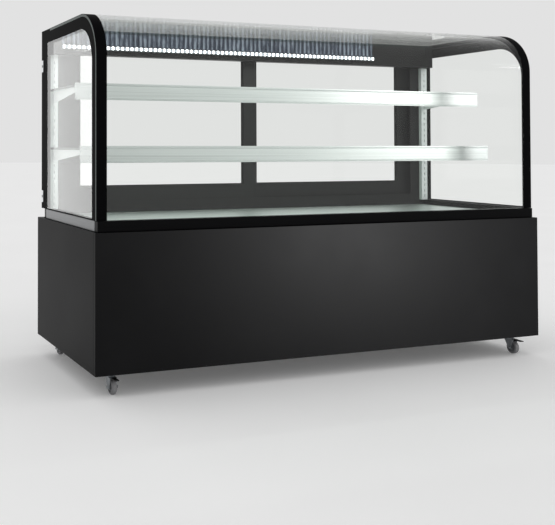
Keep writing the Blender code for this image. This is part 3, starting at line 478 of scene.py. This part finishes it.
# %% Door panes and shelves
def sheet_of_glass(name, body, clear_finish, node):
    """The section has Y and Z as its two numbers, and is carried along X."""
    lowest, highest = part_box(node)
    size = highest - lowest
    lies_flat = size.y > size.z
    section = chamfered(size.y, size.z, ARRIS, ((lowest.y + highest.y) / 2,
                                                (lowest.z + highest.z) / 2))
    stations = np.array([lowest.x, lowest.x + ARRIS, highest.x - ARRIS, highest.x])
    grid = np.stack([in_x(section, x) for x in stations])
    finishes = np.roll(FACES_THEN_EDGES, 2) if lies_flat else FACES_THEN_EDGES
    made = surface(name, grid, body, [clear_finish, EDGE], "clear_glass", smooth=0,
                   section_slots=finishes, cap_slot=1)
    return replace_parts(made, node)


for word in ("left", "right"):
    sheet_of_glass(word + "_door_pane", word + "_door", QUIET_PANE, word + "_door_glass")
for word in ("upper", "lower"):
    sheet_of_glass(word + "_shelf", "case", SHELF_PANE, word + "_shelf_glass")
print("flat panes: two doors, two shelves")

# %% [markdown]
# ## Bars and plates
#
# The lamp's channel and the clamps' plates are flat stock with broken edges: a chamfered section that
# is carried along whichever side is longest.

# %% Bars and plates with broken edges
def bar(name, lowest, highest, body, material, slot, cut=0.0006, smooth=0):
    """A bar with chamfered long edges: a section in X and Z or Y, carried along its longest side."""
    lowest, highest = np.minimum(lowest, highest), np.maximum(lowest, highest)
    size = highest - lowest
    run_axis = int(np.argmax(size))
    u_axis, v_axis = [k for k in range(3) if k != run_axis]
    centre = (lowest + highest) / 2
    cut = min(cut, size[u_axis] / 3, size[v_axis] / 3)
    section = chamfered(size[u_axis], size[v_axis], cut)
    grid = np.empty((2, len(section), 3))
    grid[:, :, u_axis] = centre[u_axis] + section[:, 0]
    grid[:, :, v_axis] = centre[v_axis] + section[:, 1]
    grid[0, :, run_axis], grid[1, :, run_axis] = lowest[run_axis], highest[run_axis]
    return surface(name, grid, body, material, slot, smooth=smooth)


print("tool: bar")

# %% [markdown]
# ## Shelf rails
#
# A clear green-white moulding clips over each shelf's front edge. Its face is a shallow channel with a
# rounded lip above and below, which holds price tickets. The section is drawn as one closed line, with
# half circles for the lips, and carried along X.

# %% Ticket rails
LIP = 0.0022  # radius of the rounded lips
UPPER_LIP, LOWER_LIP = 0.006, 0.004  # from the rail's top and from its foot to the lips' middles
FACE_SET_BACK = 0.0012  # the ticket's face, behind the lips' fronts
ARRIS_OF_RAIL = 0.001
BEVEL_BY_LIP = 0.003  # from a lip's middle to where the ticket's face begins
GROOVE_AIR = 0.0005  # round the shelf's front edge
UNDER_GLASS = 0.006  # from the shelf's underside to the flange's


def moulded_rail():
    """Frosted acrylic: milky, a little green, with fine lines along its length."""
    made, tree, shader, at = start("frosted_acrylic", "EEF2F0", 0.30, Specular_IOR_Level=0.5)
    mottle(tree, shader, grain_along(tree, at, "X", 3, 900), 1.0,
           [(0.3, "A2A7A6"), (0.6, "B6BBBA")])
    return made


RAIL = moulded_rail()


def rail_section(node):
    """The rail's line in Y and Z: round lips joined by a flat face, with a slot for the glass."""
    lowest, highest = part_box(node)
    front, back, foot, top = lowest.y, highest.y, lowest.z, highest.z
    face, corner = front + FACE_SET_BACK, front + FACE_SET_BACK + ARRIS_OF_RAIL
    angle = np.linspace(-np.pi / 2, np.pi / 2, 9)[:, None]
    lip = np.hstack([front + LIP - LIP * np.cos(angle), LIP * np.sin(angle)])
    outside = np.concatenate([[[corner, foot]], lip + [0.0, foot + LOWER_LIP],
                              [[face, foot + LOWER_LIP + BEVEL_BY_LIP]],
                              [[face, top - UPPER_LIP - BEVEL_BY_LIP]],
                              lip + [0.0, top - UPPER_LIP], [[corner, top]]])
    glass_low, glass_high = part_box(node.replace("_rail", "_glass"))
    groove = glass_low.y - GROOVE_AIR
    roof, sill = glass_high.z + GROOVE_AIR, glass_low.z - GROOVE_AIR
    flange = glass_low.z - UNDER_GLASS
    inside = np.array([(back, top), (back, roof), (groove, roof), (groove, sill), (back, sill),
                       (back, flange), (groove, flange), (groove, foot)])
    return np.concatenate([outside, inside])


rails = []
for word in ("upper", "lower"):
    rail_low, rail_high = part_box(word + "_shelf_rail")
    line = rail_section(word + "_shelf_rail")
    rails.append(surface(word + "_ticket_rail", [in_x(line, rail_low.x), in_x(line, rail_high.x)],
                         "case", RAIL, "shelf_rail_white"))
    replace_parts(rails[-1], word + "_shelf_rail")
print("ticket rails: two")

# %% [markdown]
# ## The lamp under the header
#
# An aluminium channel holds a row of white diodes behind a smoked lens. Above it the header carries a
# fluted reflector. Its flutes catch the diodes, and an upright streak of light at each diode is
# painted into its colour and glow, so the header looks striped over the lamp and plain past it. The
# lens is a half ellipse carried along the lamp, and the reflector a row of cosine arches.

# %% Channel, lens and reflector
DIODE_PITCH = 0.020
FLUTES = 2  # to each diode
LENS_DEPTH = 0.006
LENS_INSET = 0.002  # from the lamp's ends
LENS_EDGE = 0.004  # the channel's lip, above and below the lens
FLUTE_DEPTH = 0.0014
REFLECTOR_FRONT, REFLECTOR_BACK = 0.0022, 0.0004  # both ahead of the header's face
lamp_low, lamp_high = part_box("led_lamp")
lamp_z = (lamp_low.z + lamp_high.z) / 2
header_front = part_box("top_header")[0].y


def glow(name, code, strength, base, light):
    """A piece that gives off light, with a faint mottle in the plastic over it."""
    return speckled(name, base, 0.4, 4, [(0.3, base), (0.7, light)], Specular_IOR_Level=0.1,
                    Emission_Color=colour(code), Emission_Strength=strength)


DIODE = glow("white_diode", "F6FBFF", 5.0, "F4F8F8", "FFFFFF")
LENS = glow("smoked_lens", "E6F0FA", 0.55, "4A4F55", "5A5F66")


def fluted_reflector_painted_streaks():
    """Dull aluminium flutes: a painted upright streak of light and glow to each diode, uneven along
    the lamp.
    """
    made, tree, shader, at = start("fluted_aluminium_painted_streaks", "59616E", 0.45, Metallic=1.0,
                                   Emission_Color=colour("DDE8F2"))
    # painted highlight: an upright streak of light at each diode, from a sine wave along X at the
    # diodes' pitch
    spot = add(tree, "SeparateXYZ", {"Vector": at})
    turns = add(tree, "Math", {0: spot.outputs["X"], 1: 2 * math.pi / DIODE_PITCH},
                operation="MULTIPLY")
    wave = add(tree, "Math", {0: turns.outputs[0]}, operation="SINE")
    # painted light: slow patches that make the painted streaks uneven along the lamp
    wide = add(tree, "Mapping", {"Vector": at, "Scale": (per_metre(14), 1.0, per_metre(60))})
    patch = add(tree, "TexNoise", {"Vector": wide.outputs["Vector"], "Scale": 1.0,
                                   "Detail": 3.0, "Roughness": 0.7})
    streak = add(tree, "MapRange", {"Value": wave.outputs[0], "From Min": -1.0, "To Min": -0.16,
                                    "To Max": 0.16})
    mixed = add(tree, "Math", {0: patch.outputs["Fac"], 1: streak.outputs["Result"]})
    # the painted streaks and patches make the base colour lighter and darker
    tree.links.new(ramp(tree, mixed.outputs[0],
                        [(0.34, "343A46"), (0.52, "4C5360"), (0.70, "78828E")]),
                   shader.inputs["Base Color"])
    # painted glow: where the painted streaks are brightest the metal gives off light, though it is no
    # lamp
    painted_glow = add(tree, "MapRange", {"Value": mixed.outputs[0], "From Min": 0.5,
                                   "From Max": 0.75, "To Min": 0.0, "To Max": 0.08})
    tree.links.new(painted_glow.outputs["Result"], shader.inputs["Emission Strength"])
    return made


# the reflector's finish, with painted streaks of light and a painted glow
FLUTED_PAINTED_STREAKS = fluted_reflector_painted_streaks()
channel = bar("lamp_channel", (lamp_low.x, lamp_low.y + LENS_DEPTH, lamp_low.z),
              (lamp_high.x, lamp_high.y, lamp_high.z), "case", SATIN_TRIM, "lamp_diffuser")
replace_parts(channel, "led_lamp")

angle = np.linspace(-np.pi / 2, np.pi / 2, 13)
half_height = (lamp_high.z - lamp_low.z) / 2 - LENS_EDGE
bulge = np.stack([lamp_low.y + LENS_DEPTH - LENS_DEPTH * np.cos(angle),
                  lamp_z + half_height * np.sin(angle)], axis=1)
lamp_lens = surface("lamp_lens", [in_x(bulge, lamp_low.x + LENS_INSET),
                                  in_x(bulge, lamp_high.x - LENS_INSET)],
                    "case", LENS, "lamp_diffuser")

count = int((lamp_high.x - lamp_low.x) / DIODE_PITCH * FLUTES)
x = np.linspace(lamp_low.x, lamp_high.x, count * 6 + 1)
arch = np.abs(np.cos(np.pi * (x - x[0]) / (DIODE_PITCH / FLUTES)))
back_y = header_front - REFLECTOR_BACK
ring = np.concatenate([np.column_stack([x, header_front - REFLECTOR_FRONT + FLUTE_DEPTH * arch]),
                       [[x[-1], back_y], [x[0], back_y]]])
foot_and_top = (lamp_high.z + 0.002, front_high.z - GLASS - 0.0006)
grid = np.stack([np.column_stack([ring, np.full(len(ring), z)]) for z in foot_and_top])
surface("lamp_reflector", grid, "case", FLUTED_PAINTED_STREAKS, "silver_coat", smooth=50)
print("lamp: %.3f m long, %d flutes" % (lamp_high.x - lamp_low.x, count))

# %% [markdown]
# ## The diodes
#
# A diode is a shallow dome of white gel on the strip. There are more than seventy, so they are worked
# out together and make one mesh. The same domes serve later as the heads of small screws.

# %% Diodes in one row
def copies(faces, size, count):
    """The faces of one solid with `size` points, again for each of its copies."""
    return [[k + n * size for k in face] for n in range(count) for face in faces]


def domes(centres, radius, height, steps=10, rings=3):
    """Half spheres that face -Y: radius * cos(b) round the ring, height * sin(b) forward."""
    b = np.linspace(0, np.pi / 2, rings + 1)[:-1]
    a = np.linspace(0, 2 * np.pi, steps, endpoint=False)
    b, a = np.meshgrid(b, a, indexing="ij")
    ring = np.stack([radius * np.cos(b) * np.cos(a), -height * np.sin(b),
                     radius * np.cos(b) * np.sin(a)], axis=-1).reshape(-1, 3)
    one = np.concatenate([ring, [[0, -height, 0]]])
    *faces, last = grid_faces(rings, steps)
    faces += [(last[j], last[(j + 1) % steps], rings * steps) for j in range(steps)]
    return np.asarray(centres)[:, None] + one, copies(faces, len(one), len(centres))


DOME_RADIUS, DOME_HEIGHT = 0.0066, 0.0015
spots = np.arange(lamp_low.x + DIODE_PITCH / 2, lamp_high.x, DIODE_PITCH)
centres = [(x, lamp_low.y + DOME_HEIGHT, lamp_z) for x in spots]
solid("lamp_diodes", *domes(centres, DOME_RADIUS, DOME_HEIGHT), "case", [DIODE], "lamp_diffuser")
print("diodes:", len(spots))

# %% [markdown]
# ## Finishes on the plain parts
#
# The solids whose shape is already right only need their finish. Sheet metal shows brush or rolling
# lines, so it uses noise stretched along the sheet. Moulded plastic and rubber show the fine grain of
# a spark-eroded mould, so they use an even noise with a little bump. The end sills are bare outside.

# %% Sheet metal, plastics and rubber
def brushed_steel(name, dark, light, along, roughness=0.30):
    """Brush lines 1 mm apart and 150 mm long."""
    made, tree, shader, at = start(name, light, roughness, Metallic=1.0)
    lines = mottle(tree, shader, grain_along(tree, at, along, 1.0, 150), 1.0,
                   [(0.3, dark), (0.7, light)], 4.0)
    rough = add(tree, "MapRange", {"Value": lines, "To Min": roughness - 0.06,
                                   "To Max": roughness + 0.08})
    tree.links.new(rough.outputs["Result"], shader.inputs["Roughness"])
    return made


def moulded(name, dark, light, roughness, grain=0.8, specular=0.4):
    """Moulded plastic or rubber: a fine spark-eroded grain."""
    made, tree, shader, at = start(name, dark, roughness, Specular_IOR_Level=specular)
    dots = mottle(tree, shader, at, per_metre(grain), [(0.35, dark), (0.7, light)])
    emboss(tree, shader, dots, 0.12, 0.0002)
    return made


STAINLESS = brushed_steel("brushed_stainless", "D2DCD9", "EEF6F3", "X", 0.42)
ZINC = brushed_steel("zinc_plated_steel", "7E8286", "A6AAAD", "Z", 0.38)
CHROME = brushed_steel("chrome_plate", "8E9092", "A6A8AA", "Z", 0.16)
FINS = brushed_steel("mill_aluminium_fins", "9FA3A5", "C2C6C8", "Y", 0.42)
COPPER = brushed_steel("copper_tube", "B5704C", "CC8A64", "X", 0.28)
COATED = moulded("silver_coated_steel", "D2D6D6", "E6EAEA", 0.35, 1.5, 0.5)
BLACK_ABS = moulded("black_abs", "0D0D0E", "161617", 0.48, 0.9)
GREY_ABS = moulded("grey_abs", "5A5C5E", "6A6C6E", 0.45, 0.9)
LINER = moulded("white_hips_liner", "C9CDCC", "DADDDC", 0.42, 2.0)
TREAD = moulded("grey_thermoplastic_rubber", "6A6A6B", "7E7E80", 0.62, 1.2, 0.3)
GASKET = moulded("black_epdm_rubber", "0A0A0A", "131313", 0.65, 1.0, 0.2)
ENAMEL = moulded("black_stove_enamel", "0A0A0B", "101012", 0.22, 3.0, 0.5)


def both(piece, end=""):
    """A piece's left and right nodes, as words for the list below."""
    return " ".join([end + word + "_" + piece for _, word in SIDES]) + " "


FINISH = {
    POWDER: "base_pan front_panel rear_panel " + both("side_panel"),
    BLACK_X: "front_sill control_panel",
    BLACK_Y: both("sill"),
    BLACK_Z: both("rear_post"),
    GRAPHITE_X: "top_header door_top_track door_bottom_track",
    GRAPHITE_Z: both("door_frame"),
    STAINLESS: "deck_plate",
    COATED: both("shelf_standard") + both("bracket", "upper_") + both("bracket", "lower_"),
    LINER: "insulated_tub drain_pan",
    FINS: "condenser_coil evaporator_coil",
    ENAMEL: "compressor",
    ZINC: "fan_shroud " + both("fork", "front_") + both("fork", "rear_"),
    BLACK_ABS: "condenser_fan evaporator_fan evaporator_fan_motor controller cord_gland "
               "power_switch light_switch " + both("door_handle") + both("brake_pedal", "front_"),
    GREY_ABS: "down_key up_key",
    TREAD: both("wheel", "front_") + both("wheel", "rear_"),
}
for material, names in FINISH.items():
    for name in names.split():
        nodes[name].data.materials.clear()
        nodes[name].data.materials.append(material)
FACES_OUT = 0.7  # a face belongs to the outside when its normal's X is past this
for side, word in SIDES:
    mesh = nodes[word + "_sill"].data
    mesh.materials.append(SATIN_TRIM)
    normals = np.empty(len(mesh.polygons) * 3)
    mesh.polygons.foreach_get("normal", normals)
    outer = (normals[::3] * side > FACES_OUT).astype(np.int32)
    mesh.polygons.foreach_set("material_index", outer)
print("finishes on", sum(len(names.split()) for names in FINISH.values()), "solids")

# %% [markdown]
# ## Clamps and gaskets
#
# Two chrome clamps hold each end pane at its rear edge: a plate outside and a domed screw through the
# glass. Every door pane sits in a black rubber gasket, one on each face. A gasket is a quarter round
# bead carried round the opening, so that its corners are true mitres.

# %% Clamps and gaskets
CLAMP = (0.0025, 0.022, 0.046)  # thickness, width and height
CLAMP_HEIGHTS = (0.620, 1.130)
CLAMP_FROM_REAR = 0.005
CLAMP_SCREW = (0.005, 0.0022)  # radius and height
BEAD = 0.004  # the gasket's radius
REBATE = 0.008  # how far the frame covers the pane


def domed_head(name, centre, axis, radius, height, body, material, slot):
    """A screw head: a flat skirt, then height * cos(b) over radius * sin(b)."""
    b = np.linspace(0.02, np.pi / 2, 7)
    profile = np.column_stack([radius * np.sin(b), 0.4 * height + 0.6 * height * np.cos(b)])
    profile = np.vstack([profile, [[radius, 0.0]]])
    return surface(name, turn(profile, centre, axis, 20), body, material, slot, smooth=40)


for side, word in SIDES:
    pane_low, pane_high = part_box(word + "_side_glass")
    face = side * max(abs(pane_low.x), abs(pane_high.x))
    for number, height in enumerate(CLAMP_HEIGHTS, 1):
        far = face + side * CLAMP[0]
        rear = pane_high.y - CLAMP_FROM_REAR
        name = "%s_clamp_%d" % (word, number)
        bar(name, (face + side * PRINT, rear - CLAMP[1], height - CLAMP[2] / 2),
            (far, rear, height + CLAMP[2] / 2), "case", CHROME, "stainless", 0.001)
        domed_head(name + "_screw", (far, rear - CLAMP[1] / 2, height), (side, 0, 0),
                   *CLAMP_SCREW, "case", CHROME, "stainless")

for word in ("left", "right"):
    pane_low, pane_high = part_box(word + "_door_glass")
    x0, x1 = pane_low.x + REBATE, pane_high.x - REBATE
    z0, z1 = pane_low.z + REBATE, pane_high.z - REBATE
    angle = np.linspace(0, np.pi / 2, 6)
    quarter_bead = np.vstack([(0.0, 0.0), BEAD * np.column_stack([np.cos(angle), np.sin(angle)])])
    for way, y, where in ((-1, pane_low.y, "front"), (1, pane_high.y, "rear")):
        opening = np.array([(x0, y, z0), (x0, y, z1), (x1, y, z1), (x1, y, z0)])
        grid = sweep(opening, quarter_bead * [1, way], (0, 1, 0), closed=True)
        surface("%s_gasket_%s" % (word, where), grid, word + "_door", GASKET, "black_plastic",
                along=True)
print("clamps: 4, gaskets: 4")

# %% [markdown]
# ## Casters
#
# A wheel is moulded in two shots: a rubber tread with round shoulders on a dished plastic hub. It is
# turned from one closed profile with the solid's own radius and width, so it still clears its fork.

# %% Wheels and axle nuts
AXLE_BORE = 0.0042
BOSS, BOSS_FOOT = 0.0075, 0.0085  # the hub's boss, at its face and where it meets the dish
DISH = (0.0030, 0.0032)  # how deep the dish lies at the boss and at the rim
RIM, RIM_FACE = 0.0085, 0.0070  # the rim's inner corners, in from the tread
SHOULDER = 0.0045
NUT = (0.0052, 0.0028)  # radius and height


def wheel_profile(radius, half, bore):
    """Radius and station: out along one dished side, round the tread, back along the other."""
    angle = np.linspace(0, np.pi / 2, 6)
    turn_in = np.column_stack([radius - SHOULDER + SHOULDER * np.sin(angle),
                               half - SHOULDER + SHOULDER * np.cos(angle)])
    side = np.array([(bore, half), (BOSS, half), (BOSS_FOOT, half - DISH[0]),
                     (radius - RIM, half - DISH[1]), (radius - RIM_FACE, half)])
    outer = np.vstack([side, turn_in])
    return np.vstack([outer, outer[::-1] * [1, -1]])


HUB_STEPS = (4, 5)  # steps of the profile that are hub, at its start and at its end
for end in ("front", "rear"):
    for word in ("left", "right"):
        corner = end + "_" + word
        lowest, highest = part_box(corner + "_wheel")
        centre = (lowest + highest) / 2
        profile = wheel_profile((highest.z - lowest.z) / 2, (highest.x - lowest.x) / 2,
                                AXLE_BORE)
        grid = turn(profile, centre, (1, 0, 0), 48).transpose(1, 0, 2)
        tread_steps = len(profile) - sum(HUB_STEPS)
        hub_then_tread = [0] * HUB_STEPS[0] + [1] * tread_steps + [0] * HUB_STEPS[1]
        made = surface(corner + "_tyre", grid, corner + "_roller", [GREY_ABS, TREAD],
                       "wheel_grey", along=True, section_slots=hub_then_tread)
        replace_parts(made, corner + "_wheel")
        fork_low, fork_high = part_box(corner + "_fork")
        for side, x in ((-1, fork_low.x), (1, fork_high.x)):
            domed_head("%s_axle_nut_%s" % (corner, "ab"[side > 0]),
                       (x, centre.y, centre.z), (side, 0, 0), *NUT, corner + "_caster", ZINC,
                       "zinc_plate")
print("wheels: 4, axle nuts: 8")

# %% [markdown]
# ## Figures and screws on the service side
#
# The thermostat shows two figures, each made of seven short glowing bars of which some are lit. Dark
# pan-head screws hold the rear panel, along its top and foot, and the control panel at its corners.

# %% Figures and screws
def strips(ends, width, height, y):
    """Flat bars between pairs of (x, z) points, each with pointed ends, standing on the plane y."""
    points = []
    for a, b in np.array(ends):
        along = (b - a) / np.linalg.norm(b - a)
        across = np.array([-along[1], along[0]]) * width / 2
        cut = along * width / 2
        ring = [a, a + cut + across, b - cut + across, b, b - cut - across, a + cut - across]
        points += [[(x, y + rise, z) for x, z in ring] for rise in (0.0, height)]
    return points, copies(grid_faces(2, len(ring)), 2 * len(ring), len(ends))


FIGURE = glow("amber_figure", "FF8A2A", 3.0, "E88A4A", "FFB070")
TOP, FOOT, MIDDLE = [(0, 1), (1, 1)], [(0, -1), (1, -1)], [(0, 0), (1, 0)]
RIGHT, LEFT = ([[(side, 1), (side, 0)], [(side, 0), (side, -1)]] for side in (0, 1))
LIT_BARS = {"0": [TOP, *RIGHT, FOOT, LEFT[1], LEFT[0]], "4": [*RIGHT, LEFT[0], MIDDLE]}
DIGIT = (0.0055, 0.0105)  # width and height
DIGIT_PITCH = 0.0088
DIGITS_FROM_EDGE = 0.012
body_low, body_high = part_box("controller")
middle_z = (body_low.z + body_high.z) / 2
bars = []
for place_at, figure in enumerate("04"):  # counted from the right, so it reads 40
    # seen from the service side +X is on the left, so x0 is the figure's right side
    x0 = body_low.x + DIGITS_FROM_EDGE + place_at * DIGIT_PITCH
    for ends in LIT_BARS[figure]:
        bars.append([(x0 + across * DIGIT[0], middle_z + up * DIGIT[1] / 2)
                     for across, up in ends])
solid("temperature_figures", *strips(bars, 0.0012, 0.0003, body_high.y), "case", [FIGURE],
      "key_grey", smooth=0)

PANEL_SCREW = (0.0045, 0.0011)  # radius and height
SMALL_SCREW = (0.0032, 0.0018)
RECESS = 0.0160  # from the control panel's rim down to its floor
rear_low, rear_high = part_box("rear_panel")
panel_low, panel_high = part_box("control_panel")
spots = []
for x in np.linspace(rear_low.x + 0.035, rear_high.x - 0.035, 7):
    spots += [(x, rear_high.y - PANEL_SCREW[1], rear_low.z + 0.018),
              (x, rear_high.y - PANEL_SCREW[1], rear_high.z - 0.018)]
solid("rear_panel_screws", *domes(spots, PANEL_SCREW[0], -PANEL_SCREW[1], 14, 4), "case",
      [ENAMEL], "black_powder_coat")
spots = [(x, panel_high.y - RECESS, z) for x in (panel_low.x + 0.012, panel_high.x - 0.012)
         for z in (panel_low.z + 0.012, panel_high.z - 0.012)]
solid("control_panel_screws", *domes(spots, SMALL_SCREW[0], -SMALL_SCREW[1], 12, 3), "case",
      [ENAMEL], "black_plastic")
print("figures: %d bars, screws: 18" % len(bars))

# %% [markdown]
# ## Pipes and wire
#
# Behind the louvres, copper pipes lead from the compressor to the condenser and to the cold well, and
# a wire guard covers the fan. Tubes are rings carried along a path and square to it: a ring's two
# directions are turned only as much as the path turns, so the tube never twists.

# %% Refrigerant pipes and the fan's guard
def pipe(name, path, radius, material, steps=10, closed=False):
    """A tube round a path of points: path + radius * (cos(a) * u + sin(a) * v)."""
    path = np.asarray(path, float)
    tangent = sum(directions(path, closed))
    tangent /= np.linalg.norm(tangent, axis=1)[:, None]
    u = np.cross(tangent[0], [0.3, 0.5, 0.81])
    us = []
    for t in tangent:
        u = u - t * (u @ t)
        u /= np.linalg.norm(u)
        us.append(u)
    us = np.array(us)[:, None]
    vs = np.cross(tangent[:, None], us)
    angle = np.linspace(0, 2 * np.pi, steps, endpoint=False)[None, :, None]
    grid = path[:, None] + radius * (np.cos(angle) * us + np.sin(angle) * vs)
    return surface(name, grid, "case", material, "zinc_plate", along=closed, smooth=60)


def rounded(corners, radius, steps=6):
    """A path through corners, each cut back and rounded by a quadratic curve."""
    corners = np.asarray(corners, float)
    path = [corners[0]]
    for before, here, after in zip(corners, corners[1:], corners[2:]):
        a = here + (before - here) / np.linalg.norm(before - here) * radius
        b = here + (after - here) / np.linalg.norm(after - here) * radius
        t = np.linspace(0, 1, steps)[:, None]
        path.extend((1 - t) ** 2 * a + 2 * t * (1 - t) * here + t ** 2 * b)
    path.append(corners[-1])
    return np.array(path)


shroud_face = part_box("fan_shroud")[0].y
fan_low, fan_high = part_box("condenser_fan")
fan_x, fan_z = (fan_low.x + fan_high.x) / 2, (fan_low.z + fan_high.z) / 2
comp_low, comp_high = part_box("compressor")
coil_low, coil_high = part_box("condenser_coil")
coil_y = (coil_low.y + coil_high.y) / 2
comp_x, pot_top = (comp_low.x + comp_high.x) / 2, comp_high.z

stub_x = comp_high.x - 0.075
discharge = [(stub_x, 0.03, pot_top - 0.050), (stub_x, 0.10, pot_top - 0.010),
             (stub_x, 0.17, pot_top + 0.030), (coil_high.x + 0.02, 0.27, pot_top + 0.040),
             (coil_high.x - 0.004, 0.27, pot_top + 0.040)]
pipe("discharge_pipe", rounded(discharge, 0.02), 0.004, COPPER)
WELL_FLOOR = 0.3975  # just under the cold well
suction = [(comp_x, -0.02, pot_top - 0.004), (comp_x, -0.02, pot_top + 0.060),
           (comp_x + 0.05, -0.02, pot_top + 0.085), (comp_x + 0.05, -0.02, WELL_FLOOR)]
pipe("suction_pipe", rounded(suction, 0.02), 0.005, COPPER)

BEND_PITCH, BEND_REACH, BEND_HALF = 0.045, 0.010, 0.011
INTO_COIL = 0.003
half_turn = np.linspace(-np.pi / 2, np.pi / 2, 9)
for number in range(5):
    z = coil_low.z + (number + 1) * BEND_PITCH
    bend = np.column_stack([coil_high.x + BEND_REACH * np.cos(half_turn),
                            np.full(9, coil_y), z + BEND_HALF * np.sin(half_turn)])
    bend = np.vstack([(coil_high.x - INTO_COIL, coil_y, z - BEND_HALF), bend,
                      (coil_high.x - INTO_COIL, coil_y, z + BEND_HALF)])
    pipe("condenser_bend_%d" % (number + 1), bend, 0.0042, COPPER, 8)

RINGS_AHEAD, SPOKES_AHEAD = 0.0030, 0.0012  # of the shroud's face
turns_round = np.linspace(0, 2 * np.pi, 48, endpoint=False)
for number, radius in enumerate((0.030, 0.050, 0.070, 0.090, 0.110), 1):
    ring = np.column_stack([fan_x + radius * np.cos(turns_round),
                            np.full(48, shroud_face - RINGS_AHEAD),
                            fan_z + radius * np.sin(turns_round)])
    pipe("fan_guard_ring_%d" % number, ring, 0.0013, ZINC, 6, closed=True)
for number, angle in enumerate(np.radians((45, 135, 225, 315)), 1):
    spoke = [(fan_x + r * math.cos(angle), shroud_face - SPOKES_AHEAD,
              fan_z + r * math.sin(angle)) for r in (0.020, 0.070, 0.128)]
    pipe("fan_guard_spoke_%d" % number, spoke, 0.0014, ZINC, 6)
print("pipes: 2, bends: 5, guard: 5 rings and 4 spokes")

# %% [markdown]
# ## Studio floor and sky
#
# The case stands on white studio paper under an even pale sky. The lamps don't light the paper, and it
# gives off a trace of light, so it has the sky's own tone and hardly any horizon shows.

# %% Floor and sky
PAPER = speckled("studio_paper", "F6F6F6", 0.9, 700, [(0.3, "F6F6F6"), (0.7, "F9F9F9")],
                 Specular_IOR_Level=0.0, Emission_Color=colour("FFFFFF"), Emission_Strength=0.095)
FLOOR_STEPS = 64
FLOOR_DROP = 0.0005  # below the wheels
rings = [(reach, -FLOOR_DROP) for reach in (0.0001, 6.0, 40.0)]
floor_grid = turn(rings, (0, 0, 0), (0, 0, 1), FLOOR_STEPS)
mesh = bpy.data.meshes.new("studio_floor")
mesh.from_pydata(floor_grid.reshape(-1, 3).tolist(), [], grid_faces(len(rings), FLOOR_STEPS)[:-2])
mesh.materials.append(PAPER)
floor = bpy.data.objects.new("studio_floor", mesh)
bpy.context.scene.collection.objects.link(floor)

world = bpy.data.worlds.new("studio_sky")
world.use_nodes = True
world.node_tree.nodes["Background"].inputs["Color"].default_value = colour("E2E2E2")
world.node_tree.nodes["Background"].inputs["Strength"].default_value = 1.0
bpy.context.scene.world = world
bpy.context.scene.view_settings.view_transform = "Standard"
bpy.context.scene.cycles.transparent_max_bounces = 32
print("studio: paper floor and an even sky")

# %% [markdown]
# ## Lamps
#
# All lamps are soft boxes. The key lamp stands high on the customer's side. The end lamp, behind the
# left end, fills that pane with its reflection. Two small ones put a glow on the front panel and lift
# the shelf rails towards the right. The last is the light that the diodes throw into the case.

# %% Soft boxes
def soft_lamp(name, where, aim, width, height, radiance, lit=(), unlit=()):
    """A rectangular softbox of a given brightness: its watts are pi * radiance * area."""
    data = bpy.data.lights.new(name, "AREA")
    data.shape = "RECTANGLE"
    data.size, data.size_y = width, height
    data.energy = radiance * width * height * math.pi
    lamp = bpy.data.objects.new(name, data)
    bpy.context.scene.collection.objects.link(lamp)
    lamp.location = where
    lamp.rotation_mode = "QUATERNION"
    lamp.rotation_quaternion = (Vector(aim) - Vector(where)).to_track_quat("-Z", "Y")
    lamp.visible_camera = False
    linked = bpy.data.collections.new(name + "_linking")
    for obj in (*lit, *unlit):
        linked.objects.link(obj)
    lamp.light_linking.receiver_collection = linked
    for entry in linked.collection_objects:
        entry.light_linking.link_state = "INCLUDE" if lit else "EXCLUDE"


base = [nodes[name] for name in FINISH[POWDER].split()]
soft_lamp("key_lamp", (4.2, -8.0, 5.0), (0, 0, 0.6), 3.0, 2.4, 11.0,
          unlit=[floor, *base, channel, lamp_lens, front_glass])
soft_lamp("end_lamp", (-1.95, 3.2, 1.0), (-1.0, 0.0, 0.9), 1.0, 2.2, 0.92, unlit=[floor, *base])
soft_lamp("panel_lamp", (1.60, -2.7, 0.35), (0.1, -0.34, 0.3), 0.5, 0.5, 110.0,
          lit=[nodes["front_panel"]])
soft_lamp("rail_lamp", (2.0, -1.9, 1.2), (0.9, -0.08, 0.9), 0.6, 0.8, 36.0, lit=rails)
soft_lamp("lamp_light", (-0.15, 0.185, 1.185), (-0.15, 0.0, 0.55), 1.40, 0.012, 22.0,
          unlit=[nodes["top_header"], nodes["door_top_track"]])
print("lamps: 5")

# %% [markdown]
# ## Camera
#
# The camera stands to the left of the front, about as high as the lower shelf, with a long lens. Its
# lens board is slid aside, as on a view camera, so that uprights stay upright. The slide is a shear on
# the camera's stand, so the same camera taken off its stand looks straight ahead.

# %% Camera on its stand
FOCAL = 56.0
YAW, PITCH = math.radians(19.55), math.radians(1.14)
SLIDE_X, SLIDE_Y = -0.2085, 0.1546  # of the lens board, as shares of the focal length
lens = bpy.data.cameras.new("camera")
lens.lens = FOCAL * math.sqrt(1 + SLIDE_X ** 2 + SLIDE_Y ** 2)
lens.sensor_width = 36.0
camera = bpy.data.objects.new("camera", lens)
stand = bpy.data.objects.new("camera_stand", None)
for obj in (camera, stand):
    bpy.context.scene.collection.objects.link(obj)
camera.location = (-1.8455, -2.9675, 0.816)
camera.rotation_euler = (math.pi / 2 + PITCH, 0.0, -YAW)
camera.parent = stand
slide = Matrix.Identity(4)
slide[0][2], slide[1][2] = SLIDE_X, SLIDE_Y
camera.matrix_parent_inverse = camera.matrix_basis @ slide @ camera.matrix_basis.inverted()
bpy.context.scene.camera = camera
print("camera: %.1f mm lens, slid %.3f and %.3f" % (lens.lens, SLIDE_X, SLIDE_Y))
